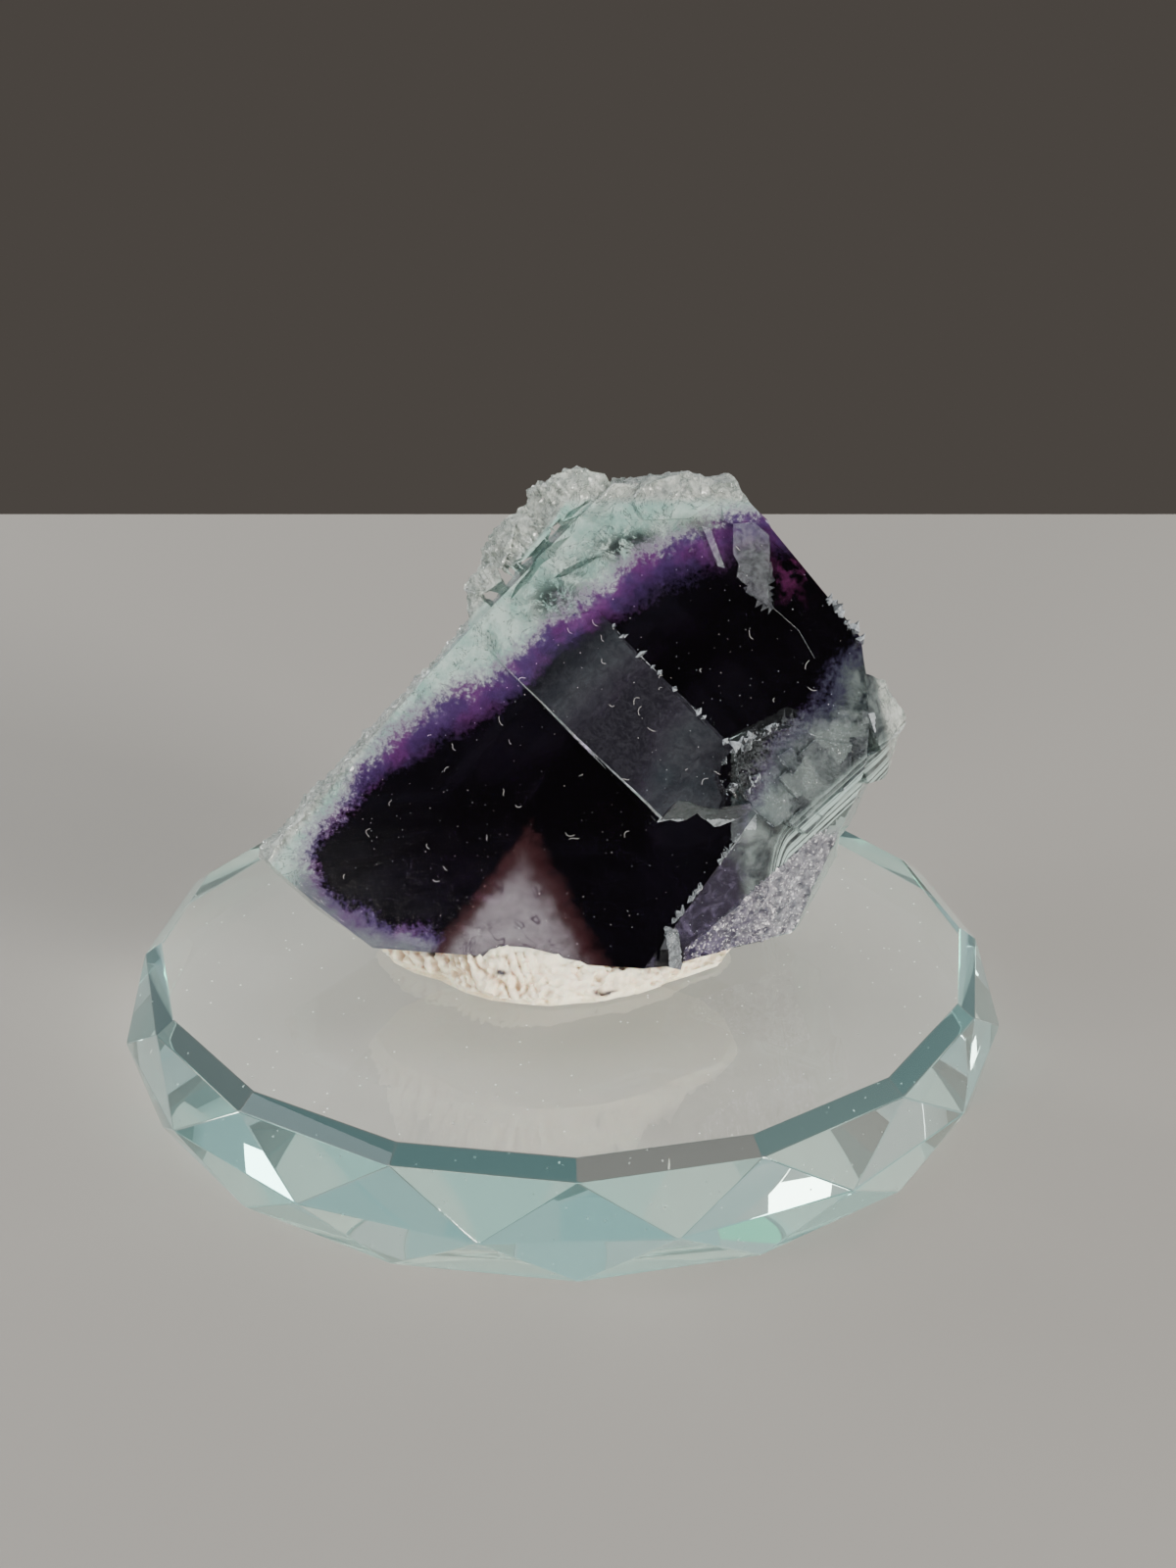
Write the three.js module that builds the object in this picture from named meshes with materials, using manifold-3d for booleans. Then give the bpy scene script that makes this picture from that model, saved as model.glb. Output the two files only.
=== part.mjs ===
// Fluorite octahedron fixed to a faceted glass disc with a pad of mineral tack.
// Millimetres, +Z up. The origin is the middle of the disc's underside, and -Y is the front.
import * as THREE from 'three';
import { ConvexGeometry } from 'three/addons/geometries/ConvexGeometry.js';
import { mergeVertices } from 'three/addons/utils/BufferGeometryUtils.js';
import Module from 'manifold-3d';

const wasm = await Module();
wasm.setup();

// Driving dimensions of the disc
const discSides = 16;
const discTurn = 2.3; // degrees that the disc is turned about its own axis
const discGirdleRadius = 50;
const discGirdleHeight = 5.5;
const discFootRadius = 48;
const discBevelRadius = 47.8;
const discBevelHeight = 11.45;
const discTableRadius = 45.8;
const discTableHeight = 13;

// Driving dimensions of the crystal
const leanBack = 22.5; // degrees that the crystal's front face leans back from upright
const footForward = 13; // the foot of the front face stands this far in front of the disc's middle
const footHeight = 17.7; // and this high above the disc's underside
const frontToBack = 27; // from the front face to the broken back
const octahedralSlope = 35.3; // degrees between a cleavage face and the line through the front face
const stripRise = 2.3; // how far the middle strip stands out at its lower end
const stripLength = 28.8; // from the strip's upper end to its lower end
const blackPlateRise = 1.2; // how far the upper right plate stands out by the end of the strip
const plateSink = 0.1; // both start this far inside the face, so they run out into it
const plateRoot = -1.2; // and the plates are rooted this deep in the body

// Driving dimensions of the putty
const touchGap = 0.3; // clearance between pieces that touch
const puttyTopLeft = 19.4; // the pad's lip is higher at the left of the crystal's foot
const puttyTopRight = 17.1; // than at the right

const degree = Math.PI / 180;

// Seeded numbers from 0 to 1, for the small chips
function chipDice(seed) {
  let state = seed;
  return () => {
    state = (state * 16807) % 2147483647;
    return state / 2147483647;
  };
}

// A closed geometry becomes a solid that can be joined and cut
function solidOf(geometry) {
  const bare = geometry.clone();
  bare.deleteAttribute('normal');
  bare.deleteAttribute('uv');
  const merged = mergeVertices(bare, 1e-4);
  return new wasm.Manifold(new wasm.Mesh({
    numProp: 3,
    vertProperties: new Float32Array(merged.attributes.position.array),
    triVerts: new Uint32Array(merged.index.array),
  }));
}

function geometryOf(solid) {
  const mesh = solid.getMesh();
  const geometry = new THREE.BufferGeometry();
  geometry.setAttribute('position', new THREE.BufferAttribute(new Float32Array(mesh.vertProperties), 3));
  geometry.setIndex(new THREE.BufferAttribute(new Uint32Array(mesh.triVerts), 1));
  geometry.computeVertexNormals();
  return geometry;
}

function joined(solids) {
  return solids.reduce((whole, solid) => whole.add(solid));
}

// The tightest convex solid round some points
function hullOf(points) {
  return solidOf(new ConvexGeometry(points.map((point) => new THREE.Vector3(...point))));
}

// The crystal is drawn in its own front face: u to the right, v up the face, w out of it.
// A flat face is given by the way it looks across the front, how far it tips forward, and a point on it.
function flat(around, forward, through) {
  const across = Math.cos(forward * degree);
  const normal = new THREE.Vector3(
    across * Math.cos(around * degree),
    across * Math.sin(around * degree),
    Math.sin(forward * degree),
  );
  return new THREE.Plane().setFromNormalAndCoplanarPoint(normal, new THREE.Vector3(...through));
}

// The corners are wherever three faces meet inside all the others
function cornersOf(faces) {
  const corners = [];
  const normals = new THREE.Matrix3();
  for (let a = 0; a < faces.length; a += 1) {
    for (let b = a + 1; b < faces.length; b += 1) {
      for (let c = b + 1; c < faces.length; c += 1) {
        const [na, nb, nc] = [faces[a].normal, faces[b].normal, faces[c].normal];
        normals.set(na.x, na.y, na.z, nb.x, nb.y, nb.z, nc.x, nc.y, nc.z);
        if (Math.abs(normals.determinant()) > 1e-4) {
          const corner = new THREE.Vector3(-faces[a].constant, -faces[b].constant, -faces[c].constant);
          corner.applyMatrix3(normals.clone().invert());
          const inside = faces.every((face) => face.distanceToPoint(corner) < 1e-4);
          const seen = corners.some((other) => other.distanceTo(corner) < 1e-3);
          if (inside && !seen) {
            corners.push(corner);
          }
        }
      }
    }
  }
  return corners;
}

function facetedBlock(faces) {
  return solidOf(new ConvexGeometry(cornersOf(faces)));
}

// A plate with an outline of its own, a top that may tilt, and a wall that leans out towards its foot
function plate(outline, heightAt, footLevel, lean) {
  const shape = outline.map(([u, v]) => new THREE.Vector2(u, v));
  if (THREE.ShapeUtils.area(shape) < 0) {
    shape.reverse();
  }
  const count = shape.length;
  const top = shape.map((spot) => [spot.x, spot.y, heightAt(spot.x, spot.y)]);
  const foot = top.map(([u, v, w]) => {
    const drop = w - footLevel;
    return [u + lean[0] * drop, v + lean[1] * drop, footLevel];
  });
  const index = [];
  THREE.ShapeUtils.triangulateShape(shape, []).forEach(([a, b, c]) => {
    index.push(a, b, c, count + c, count + b, count + a);
  });
  for (let i = 0; i < count; i += 1) {
    const next = (i + 1) % count;
    index.push(i, count + i, count + next, i, count + next, next);
  }
  const geometry = new THREE.BufferGeometry();
  geometry.setAttribute('position', new THREE.Float32BufferAttribute([...top, ...foot].flat(), 3));
  geometry.setIndex(index);
  return solidOf(geometry);
}

// How far a spot lies down the strip, which runs from the upper left to the lower right
function alongStrip(u, v) {
  const stripStart = [-9.6, 35];
  return ((u - stripStart[0]) - (v - stripStart[1])) * Math.SQRT1_2;
}

// The lower right corner is broken off: a bevel, the rough break beyond it and the edges round that
function breakFaces() {
  return [
    flat(-35.7, 68, [14.9, 6.5, 0]), // bevel
    flat(-44, 44, [21.3, 5.9, -2.7]), // rough break
    flat(-26.6, 12, [28.6, 6.6, -9]),
    flat(-62, 8, [24.2, 0.8, -7]),
    flat(-78, 6, [17.5, -1.2, -4]),
    flat(265.6, -24, [-5, -0.7, 0]), // underside
  ];
}

// The cleaved sides, with the broken corner among them
function sideFaces() {
  return [
    flat(137.4, 10, [-10.2, 34.8, 0]), // upper left
    flat(135.8, 9, [-10.2, 34.8, 0]),
    flat(90, 12, [11, 51, 0]), // top
    flat(39.6, 6, [24.2, 44.4, -1]), // upper right
    flat(36, 6, [31.2, 35.9, -1]),
    flat(10.6, 6, [32.9, 31, 0]), // right
    flat(-42.5, 10, [31.9, 15.6, 0]), // lower right
    ...breakFaces(),
    flat(232.5, 12, [-24.6, 3.6, 0]), // lower left
    flat(228.5, 11, [-28.9, 7.2, 0]),
    flat(160, 14, [-31.9, 10.3, 0]), // left tip
  ];
}

// The octahedral cleavage faces of the back, each set out by so much from its usual place
function backFaces(upperLeft, top, upperRight, right, lowerRight, lowerLeft, rear) {
  return [
    flat(136.5, -octahedralSlope, [-11.1, 35.6, -7 - upperLeft]),
    flat(90, -22, [11, 52, -9 - top]),
    flat(44, -octahedralSlope, [25.6, 43.9, -8 - upperRight]),
    flat(-2, -30, [33.8, 24, -9 - right]),
    flat(-46, -octahedralSlope, [28.6, 6.4, -12 - lowerRight]),
    flat(229.5, -octahedralSlope, [-28.2, 5.3, -6.5 - lowerLeft]),
    flat(60, -84, [6, 22, -frontToBack - rear]),
  ];
}

// Blocks that share the sides and differ at the back leave the steps of an octahedral cleavage there
function bodyBlock() {
  const front = flat(0, 90, [0, 0, 0]);
  const inner = flat(0, 90, [0, 0, -2]);
  return joined([
    facetedBlock([front, ...sideFaces(), ...backFaces(0, 0, 0, 0, 0, 0, 0)]),
    facetedBlock([inner, ...sideFaces(), ...backFaces(2, -2, -9, -5, -7, -8, -5)]),
    facetedBlock([inner, ...sideFaces(), ...backFaces(-9, -1, 2.4, 1, -4, -3, -7)]),
    facetedBlock([inner, ...sideFaces(), ...backFaces(-4, -3, -5, -4, -10, 1.8, 1.2)]),
    facetedBlock([inner, ...sideFaces(), ...backFaces(-7, -2, -6, 2, 1.6, -9, -9)]),
    brokenCorner(),
  ]);
}

// The broken corner bulges out past the lower right side, under a small ledge
function brokenCorner() {
  return facetedBlock([
    flat(0, 90, [0, 0, 0]),
    ...breakFaces(),
    flat(114, -18, [28.7, 11.9, -5]), // the ledge
    flat(180, 0, [10, 5, -8]),
    flat(-46, -octahedralSlope, [28.6, 6.4, -15]),
    flat(-90, -75, [20, 4, -21]),
  ]);
}

// The middle strip stands further out the further it runs, and the black plate beside it less so
function stripHeight(u, v) {
  return -plateSink + (stripRise + plateSink) * (alongStrip(u, v) / stripLength);
}

function blackPlateHeight(u, v) {
  const plateStart = 8;
  return -plateSink + blackPlateRise * ((alongStrip(u, v) - plateStart) / (stripLength - plateStart));
}

function frontPlates() {
  const strip = plate([
    [-9.6, 35], [-5.6, 30.6], [-1.4, 26.6], [2.4, 22.8], [5.1, 20.3], [9.1, 16.6], [10.9, 14.8],
    [12, 16.1], [12.6, 16.6], [13.9, 16.5], [14.8, 16.1], [17.2, 15.7], [18, 17.2], [16.9, 19.2],
    [17.3, 20.8], [18.5, 22.3], [15.6, 25.3], [13.5, 27.4], [11.3, 29.5], [7.1, 33.7], [4.1, 37.2],
  ], stripHeight, plateRoot, [-0.16, -0.2]);
  const blackPlate = plate([
    [4.1, 37.2], [7.1, 33.5], [11.3, 29.2], [13.5, 27], [15.6, 24.8], [16.6, 22.6], [19.8, 24.1],
    [22.8, 24.6], [24, 24.9], [25.1, 24.5], [26.8, 22.5], [29.4, 21.7], [32.9, 20.9], [33.2, 25],
    [32.7, 31], [32.3, 34.2], [25.6, 42.3], [19, 47.6], [8, 41.5],
  ], blackPlateHeight, plateRoot, [0, -0.2]);
  return [strip, blackPlate];
}

// Below the strip the edge is broken into slanting shell-shaped faces
function brokenEdge() {
  const slantFoot = 13.9;
  const slantStart = 0.3;
  const slantClimb = 0.72;
  const slantHeight = (u, v) => slantStart + slantClimb * (v - slantFoot);
  const slant = plate([
    [10.3, 14.2], [11.8, 14.5], [12.6, 14.3], [13.5, 14.5], [14.7, 15.3], [15.3, 14.7], [15.7, 14.5],
    [16.6, 13.7], [17.2, 13.8], [18.8, 14.5], [19.4, 14.8], [20.6, 15.6], [20.4, 16.3], [17.2, 15.9],
    [14.8, 16.3], [12.6, 16.7], [11, 14.9],
  ], slantHeight, plateRoot, [0, -0.1]);
  const stepStart = 0.35;
  const stepClimb = 0.0275; // for each millimetre along the strip
  const step = plate([
    [3.4, 21.6], [8.8, 15.6], [9.1, 15.8], [10.3, 14.2], [10.9, 15.1], [5.5, 20.4],
  ], (u, v) => stepStart + stepClimb * alongStrip(u, v), plateRoot, [0, 0]);
  return [slant, step];
}

// Right of the strip the face goes down to the right edge in small square steps
function squareSteps() {
  const level = (height) => () => height;
  const lean = [-0.12, -0.14];
  return [
    plate([
      [20.7, 15.9], [23.2, 13.8], [24.2, 14.5], [26.6, 13], [28.5, 15], [30.4, 17.1], [32.4, 19],
      [33, 21.2], [32.8, 23.6], [29.4, 22.9], [25, 24.6], [22, 24], [18.8, 22], [19.4, 18],
    ], level(1.45), plateRoot, lean),
    plate([
      [23.5, 19], [26, 16.4], [28.6, 17.3], [31.3, 19.8], [31.2, 22.6], [27.4, 23.3], [25.6, 21.6],
    ], level(1.95), plateRoot, lean),
    plate([[24.9, 19.3], [26.1, 20.5], [24.8, 22.4], [23.4, 21.5]], level(2.35), plateRoot, lean),
    plate([[24.5, 14.3], [26.5, 13.2], [28, 14.8], [26, 15.9]], level(1.75), plateRoot, lean),
    plate([
      [27.6, 15.4], [29.6, 17.2], [31.6, 19.2], [31.9, 18.8], [28.2, 14.9],
    ], level(1.7), plateRoot, lean),
    plate([
      [12.2, 17.2], [15.6, 18.2], [16.7, 20.2], [14.9, 21.4], [12.9, 19.6],
    ], level(2.2), plateRoot, lean),
  ];
}

// A thin pale chip still hangs on the upper right, with a narrow blade beside it
function hangingChips() {
  return [
    plate([
      [18.5, 46.4], [20.7, 46.6], [22.4, 45.2], [22.5, 43.2], [22.4, 41.6], [22.3, 39.9], [22.4, 37.5],
      [21.5, 38.3], [19.9, 39.1], [20.1, 39.8], [19.4, 40.3], [18.9, 40.8], [19.1, 42.1], [18.5, 43.2],
    ], (u, v) => 0.9 + 0.03 * (v - 38), -1, [0.05, -0.1]),
    plate([[15.2, 46.2], [16.1, 46], [17.7, 41.7], [16.9, 41.9]], () => 0.55, -1, [-0.1, 0]),
    plate([
      [22.9, 37.4], [25.6, 35], [27.3, 32], [30.5, 33.5], [30.8, 35.2], [26.6, 40.4], [23.4, 43.4],
    ], (u, v) => blackPlateHeight(u, v) + 0.35, -1, [-0.05, -0.1]),
  ];
}

// Torn cracks in the pale rim, cut a little way in
function cracks() {
  const deep = -1.5;
  const outFront = 3;
  const cut = (outline) => plate(outline, () => outFront, deep, [0, 0]);
  return [
    cut([
      [-5.6, 38.2], [-5, 39.7], [-4.5, 40.3], [-3.6, 41.3], [-3.2, 42.2], [-2.2, 43.5], [-1.3, 44],
      [-0.5, 44.6], [1, 45.2], [-0.4, 43.8], [-1, 42.9], [-2, 42.3], [-2.5, 41.7], [-3.4, 40.4],
      [-4.3, 39.7],
    ]),
    cut([
      [-0.9, 40.6], [0.2, 41.5], [1.3, 42.1], [2.9, 42.8], [4.3, 43.1], [3, 42.3], [1.4, 41.5], [0.5, 40.9],
    ]),
    cut([[3.2, 49.2], [0.7, 47.8], [0.3, 47.1], [1.1, 47.3]]),
  ];
}

// Clear crystals that grew along the upper left edge, from the lowest fin to the small blocks under the lump
function crustCrystals() {
  return [
    hullOf([
      [-10, 34.6, -0.9], [-10.6, 38, -1.6], [-10.8, 39.9, -2.2], [-9.2, 39.3, -0.9], [-7.6, 37.4, -0.6],
      [-9.4, 35.4, -6], [-10.4, 39.4, -6.5], [-7, 38.4, -7],
    ]),
    hullOf([
      [-10.9, 39.9, -2.4], [-10.2, 41.1, -1.9], [-8.6, 42.6, -1.8], [-7.4, 42.2, -0.8], [-6.6, 40.4, -0.6],
      [-8.6, 38.8, -0.9], [-10.4, 40.4, -8], [-8.4, 42.2, -8.6], [-5.8, 39.6, -9],
    ]),
    hullOf([
      [-8.8, 42.4, -2.6], [-8.7, 43.6, -2.9], [-7.5, 44.9, -2.4], [-7.1, 46.6, -2.7], [-6.2, 47.3, -2],
      [-5, 46.4, -0.7], [-5.6, 43.4, -0.4], [-6.6, 41.6, -0.5], [-8, 44.4, -9], [-6.4, 46.8, -10],
      [-4.6, 42.4, -11],
    ]),
    hullOf([
      [-6.9, 46.9, -2.6], [-5.7, 48, -2.4], [-4, 48.8, -2.2], [-2.4, 47.2, -0.6], [-1.1, 45.8, -0.3],
      [-4, 42.6, -0.3], [-5.6, 41.9, -0.5], [-5.8, 47.4, -10.5], [-3.6, 48.2, -11], [-1.8, 44.6, -12],
    ]),
    hullOf([
      [-4.1, 48.7, -2.7], [-3, 49.9, -2.4], [-1.9, 50, -1.6], [-0.1, 48.2, -0.3], [0.1, 47.4, -0.3],
      [-1.4, 45.9, -0.4], [-2.8, 46.9, -1.2], [-3.4, 48.8, -10], [-0.6, 47.6, -12],
    ]),
  ];
}

// The fibrous look of the crust: narrow blades side by side, each a little longer or shorter
function crustBlades() {
  const dice = chipDice(41);
  const bladeCount = 11;
  const from = [-8.3, 43.4];
  const to = [-3.1, 48.6];
  const blades = [];
  for (let i = 0; i < bladeCount; i += 1) {
    const t = (i + 0.5) / bladeCount;
    const u = from[0] + (to[0] - from[0]) * t;
    const v = from[1] + (to[1] - from[1]) * t;
    const half = 0.2 + 0.14 * dice();
    const out = 0.2 + 0.5 * dice();
    const down = 2.6 + 1.6 * dice();
    blades.push(hullOf([
      [u - out, v + out * 0.8, -2.4], [u - half, v - half, -1.6], [u + half, v + half, -1.6],
      [u + down * 0.75, v - down * 0.75, -0.1], [u - half, v - half, -7], [u + half, v + half, -7],
      [u - out * 0.6, v + out * 0.6, -8],
    ]));
  }
  return blades;
}

// Two rounded clear lumps on top: rings of points, each ring smaller than the outline in the middle
function topLumps() {
  const frontShoulder = 2.2;
  const backShoulder = { depth: 4, turnIn: 0.05 };
  const backTurnIn = 0.35;
  const lump = (outline, middle, front, back, turnIn) => {
    const ring = (inset, w) => outline.map(([u, v]) => [
      u + (middle[0] - u) * inset, v + (middle[1] - v) * inset, w,
    ]);
    return hullOf([
      ...ring(turnIn, front),
      ...ring(0, front - frontShoulder),
      ...ring(backShoulder.turnIn, back + backShoulder.depth),
      ...ring(backTurnIn, back),
    ]);
  };
  return [
    lump([
      [-3.2, 50], [-3, 50.9], [-2.3, 51.6], [-0.8, 52.6], [0.8, 52.9], [3.2, 52.8], [5, 52.2],
      [6.1, 51.1], [3.4, 47.8], [0, 46.4], [-1.8, 48.2],
    ], [1.6, 49.8], -0.4, -13, 0.12),
    lump([
      [6, 49.6], [7.4, 51.2], [9.1, 51.8], [10.6, 52.2], [11.8, 52.7], [13.4, 52.9], [14.3, 52.6],
      [15.2, 52.4], [17, 51.3], [18.1, 50.2], [17.8, 48.8], [14, 46.6], [8, 46.4],
    ], [12.6, 49], 0.35, -13.5, 0.2),
    hullOf([
      [17.2, 50, -0.3], [18.7, 49.2, -0.8], [20.1, 49.1, -1.2], [21, 48.3, -1], [22.4, 47, -0.8],
      [23, 45.4, -0.2], [20.6, 45.6, 0.5], [17.6, 46.8, 0.4], [18.4, 49, -9], [21.6, 46.6, -9.5],
      [18, 45, -10],
    ]),
  ];
}

// The clear crystal at the right tip, with a ridge across its front
function tipCrystal() {
  return [
    hullOf([
      [32.9, 30.4, -0.5], [34, 30.1, -1.2], [35.4, 29.5, -2.2], [36, 28.6, -2.6], [36.9, 26.8, -2.8],
      [38.1, 25.5, -4], [34.6, 22, 0.5], [33, 26.5, 0.9], [33, 30, -8], [36.2, 27.6, -9],
      [37.6, 25, -8.5], [31.6, 22, -12],
    ]),
    hullOf([
      [34.6, 22, 0.45], [38, 25.3, -4.1], [37.3, 23, -4.6], [36.7, 21.9, -4.2], [36.5, 19.9, -4.6],
      [35.4, 18.8, -3.4], [33.4, 18.4, -0.8], [32.4, 21, -0.2], [36.8, 23.4, -9], [35.8, 19.6, -9.5],
      [32, 18, -10],
    ]),
  ];
}

// One small chip: a stretched octahedron, turned about the way it sticks out and rooted in the face
function chipAt([u, v, w], size, stretch, turn) {
  const long = size * stretch;
  const tip = size * 0.8;
  const root = size * 1.5;
  const [c, s] = [Math.cos(turn), Math.sin(turn)];
  return hullOf([
    [u + long * c, v + long * s, w], [u - long * c, v - long * s, w],
    [u - size * s, v + size * c, w], [u + size * s, v - size * c, w],
    [u, v, w + tip], [u, v, w - root],
  ]);
}

// Broken bits: rubble at the foot of the black plate, chips on the ridges and along the upper right edge
function rubble() {
  const dice = chipDice(7);
  const chips = [];
  const cleavageTurn = 45; // the chips lie roughly along the cleavage
  const turnSpread = 50;
  const lines = [
    {
      count: 10, from: [15.4, 19.6], to: [24, 25],
      spread: 1.8, levelAt: () => 1.5, sizes: [0.45, 0.85],
    },
    {
      count: 8, from: [13.4, 17.4], to: [21.4, 18.4],
      spread: 1.6, levelAt: () => 1.7, sizes: [0.4, 0.8],
    },
    {
      count: 9, from: [4.6, 36.6], to: [17.8, 22.8],
      spread: 0.3, levelAt: stripHeight, sizes: [0.2, 0.42],
    },
    {
      count: 8, from: [28.6, 38.8], to: [32.4, 33.6],
      spread: 0.5, levelAt: blackPlateHeight, sizes: [0.35, 0.7],
    },
    {
      count: 5, from: [12, 43.4], to: [17.6, 45.4],
      spread: 1, levelAt: () => 0, sizes: [0.4, 0.7],
    },
  ];
  lines.forEach(({ count, from, to, spread, levelAt, sizes }) => {
    for (let i = 0; i < count; i += 1) {
      const t = (i + dice()) / count;
      const u = from[0] + (to[0] - from[0]) * t + (dice() - 0.5) * spread;
      const v = from[1] + (to[1] - from[1]) * t + (dice() - 0.5) * spread;
      const size = sizes[0] + (sizes[1] - sizes[0]) * dice();
      const turn = (cleavageTurn + (dice() - 0.5) * turnSpread) * degree;
      chips.push(chipAt([u, v, levelAt(u, v)], size, 1.1 + dice(), turn));
    }
  });
  return chips;
}

// Small beads along the edge over the left tip, larger at the top
function edgeBeads() {
  const dice = chipDice(19);
  const beadCount = 15;
  const from = [-29.2, 13.4];
  const to = [-23, 20.1];
  const offEdge = [0.72, -0.69]; // the way from the edge on to the face
  const sunk = -0.05;
  const beads = [];
  for (let i = 0; i < beadCount; i += 1) {
    const t = i / (beadCount - 1);
    const size = 0.3 + 0.32 * t + 0.1 * dice();
    const inward = (i % 2) * (0.3 + 0.35 * t) + 0.05;
    const bead = new THREE.IcosahedronGeometry(size, 0);
    bead.rotateX(dice() * 3);
    bead.translate(
      from[0] + (to[0] - from[0]) * t + inward * offEdge[0],
      from[1] + (to[1] - from[1]) * t + inward * offEdge[1],
      sunk,
    );
    beads.push(solidOf(bead));
  }
  return beads;
}

// The lilac splinter at the lowest corner
function lowSplinter() {
  return hullOf([
    [10.7, 0.4, 0.5], [11.7, 2.6, 0.3], [12.6, 2.2, 0], [13.4, -0.4, -0.5], [13, -2, -0.6], [11.7, -1.6, 0],
    [10.6, -1.2, 0.1], [11.6, 0.4, 0.9], [11.4, 0.6, -3], [13, -1.6, -3.4],
  ]);
}

const body = bodyBlock();
const crystalSolid = cracks().reduce(
  (solid, crack) => solid.subtract(crack),
  joined([
    body,
    ...frontPlates(),
    ...brokenEdge(),
    ...squareSteps(),
    ...hangingChips(),
    ...crustCrystals(),
    ...crustBlades(),
    ...topLumps(),
    ...tipCrystal(),
    ...rubble(),
    ...edgeBeads(),
    lowSplinter(),
  ]),
);

const crystal = new THREE.Mesh(geometryOf(crystalSolid), new THREE.MeshStandardMaterial({
  color: 0x2a1c44,
  roughness: 0.12,
  metalness: 0,
}));
crystal.name = 'fluorite_crystal';
crystal.rotation.x = (90 - leanBack) * degree;
crystal.position.set(0, -footForward, footHeight);
crystal.updateMatrixWorld();

// The faceted disc: table, bevel, girdle and foot polygons, all with the same number of sides
function discGeometry() {
  const ring = (radius, height, offset) => Array.from({ length: discSides }, (_, side) => {
    const angle = (discTurn - 90 + (side + offset) * (360 / discSides)) * degree;
    return new THREE.Vector3(radius * Math.cos(angle), radius * Math.sin(angle), height);
  });
  return new ConvexGeometry([
    ...ring(discTableRadius, discTableHeight, 0),
    ...ring(discBevelRadius, discBevelHeight, 0),
    ...ring(discGirdleRadius, discGirdleHeight, 0.5),
    ...ring(discFootRadius, 0, 0),
  ]);
}

const disc = new THREE.Mesh(geometryOf(solidOf(discGeometry())), new THREE.MeshStandardMaterial({
  color: 0xd9ebe6,
  roughness: 0.03,
  metalness: 0,
}));
disc.name = 'glass_disc';

// The pad of tack: its torn outline on the disc, drawn in and rounded over towards the top
function puttyBlob() {
  const outline = [
    [-21.1, -2.7], [-19.1, -7.3], [-16.6, -9.8], [-13.3, -11.8], [-10.7, -14.2], [-7.8, -15.9], [-4.6, -16.7],
    [-1.4, -17.3], [1.3, -16.7], [3.9, -16.4], [6.2, -15.4], [8.2, -14.7], [11, -12.8], [13.7, -10.8],
    [17.6, -8.1], [19, -4], [18.4, 0.6], [15.6, 5], [10.6, 8.1], [4.6, 9.8], [-2, 10.2], [-8.6, 9.1],
    [-14, 6.9], [-18.6, 3],
  ];
  const middle = [-1, -4];
  const foot = discTableHeight + touchGap;
  const [leftEnd, rightEnd] = [-11, 3];
  const topAt = (x) => THREE.MathUtils.mapLinear(
    THREE.MathUtils.clamp(x, leftEnd, rightEnd),
    leftEnd,
    rightEnd,
    puttyTopLeft,
    puttyTopRight,
  );
  const heightAt = (x, share) => foot + (topAt(x) - foot) * share;
  const layers = [
    { share: 0, inset: 0.015 },
    { share: 0.15, inset: 0 },
    { share: 0.4, inset: 0.05 },
    { share: 0.64, inset: 0.11 },
    { share: 0.84, inset: 0.18 },
    { share: 1, inset: 0.28 },
  ];
  const dice = chipDice(23);
  const points = [];
  const kneading = 0.05;
  layers.forEach(({ share, inset }, layer) => {
    outline.forEach(([x, y]) => {
      const pull = inset + (layer === 0 ? 0 : (dice() - 0.5) * kneading);
      points.push([x + (middle[0] - x) * pull, y + (middle[1] - y) * pull, heightAt(x, share)]);
    });
  });
  const count = outline.length;
  const index = [];
  for (let layer = 0; layer < layers.length - 1; layer += 1) {
    for (let i = 0; i < count; i += 1) {
      const a = layer * count + i;
      const b = layer * count + ((i + 1) % count);
      index.push(a, b, b + count, a, b + count, a + count);
    }
  }
  const base = points.push([...middle, foot]) - 1;
  const crown = points.push([...middle, topAt(middle[0])]) - 1;
  const lastRing = (layers.length - 1) * count;
  for (let i = 0; i < count; i += 1) {
    const next = (i + 1) % count;
    index.push(base, next, i, crown, lastRing + i, lastRing + next);
  }
  const geometry = new THREE.BufferGeometry();
  geometry.setAttribute('position', new THREE.Float32BufferAttribute(points.flat(), 3));
  geometry.setIndex(index);
  return solidOf(geometry);
}

// The seat that the crystal presses in the pad is its own body, moved a gap's width each way
function puttySolid() {
  const inPlace = geometryOf(joined([body, lowSplinter()]));
  inPlace.applyMatrix4(crystal.matrixWorld);
  const nudge = touchGap * 1.2;
  const moves = [[0, 0, -1], [0, -1, 0], [-1, 0, 0], [1, 0, 0], [0, 1, 0], [0, -0.7, -0.7]];
  return moves.reduce((pad, [x, y, z]) => {
    const seat = inPlace.clone();
    seat.translate(x * nudge, y * nudge, z * nudge);
    return pad.subtract(solidOf(seat));
  }, puttyBlob());
}

const putty = new THREE.Mesh(geometryOf(puttySolid()), new THREE.MeshStandardMaterial({
  color: 0xe9dcc6,
  roughness: 0.6,
  metalness: 0,
}));
putty.name = 'putty_pad';

const group = new THREE.Group();
group.add(disc, putty, crystal);
export default group;
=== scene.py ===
# A cleaved purple and pale green fluorite on a pad of tack, on a clear faceted glass disc.
# Metres, +Z up, -Y is the front. The frame brings the disc, the pad and the crystal at their real size.
import math
import random

import bpy
import numpy as np
from mathutils import Matrix, Vector, noise


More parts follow.
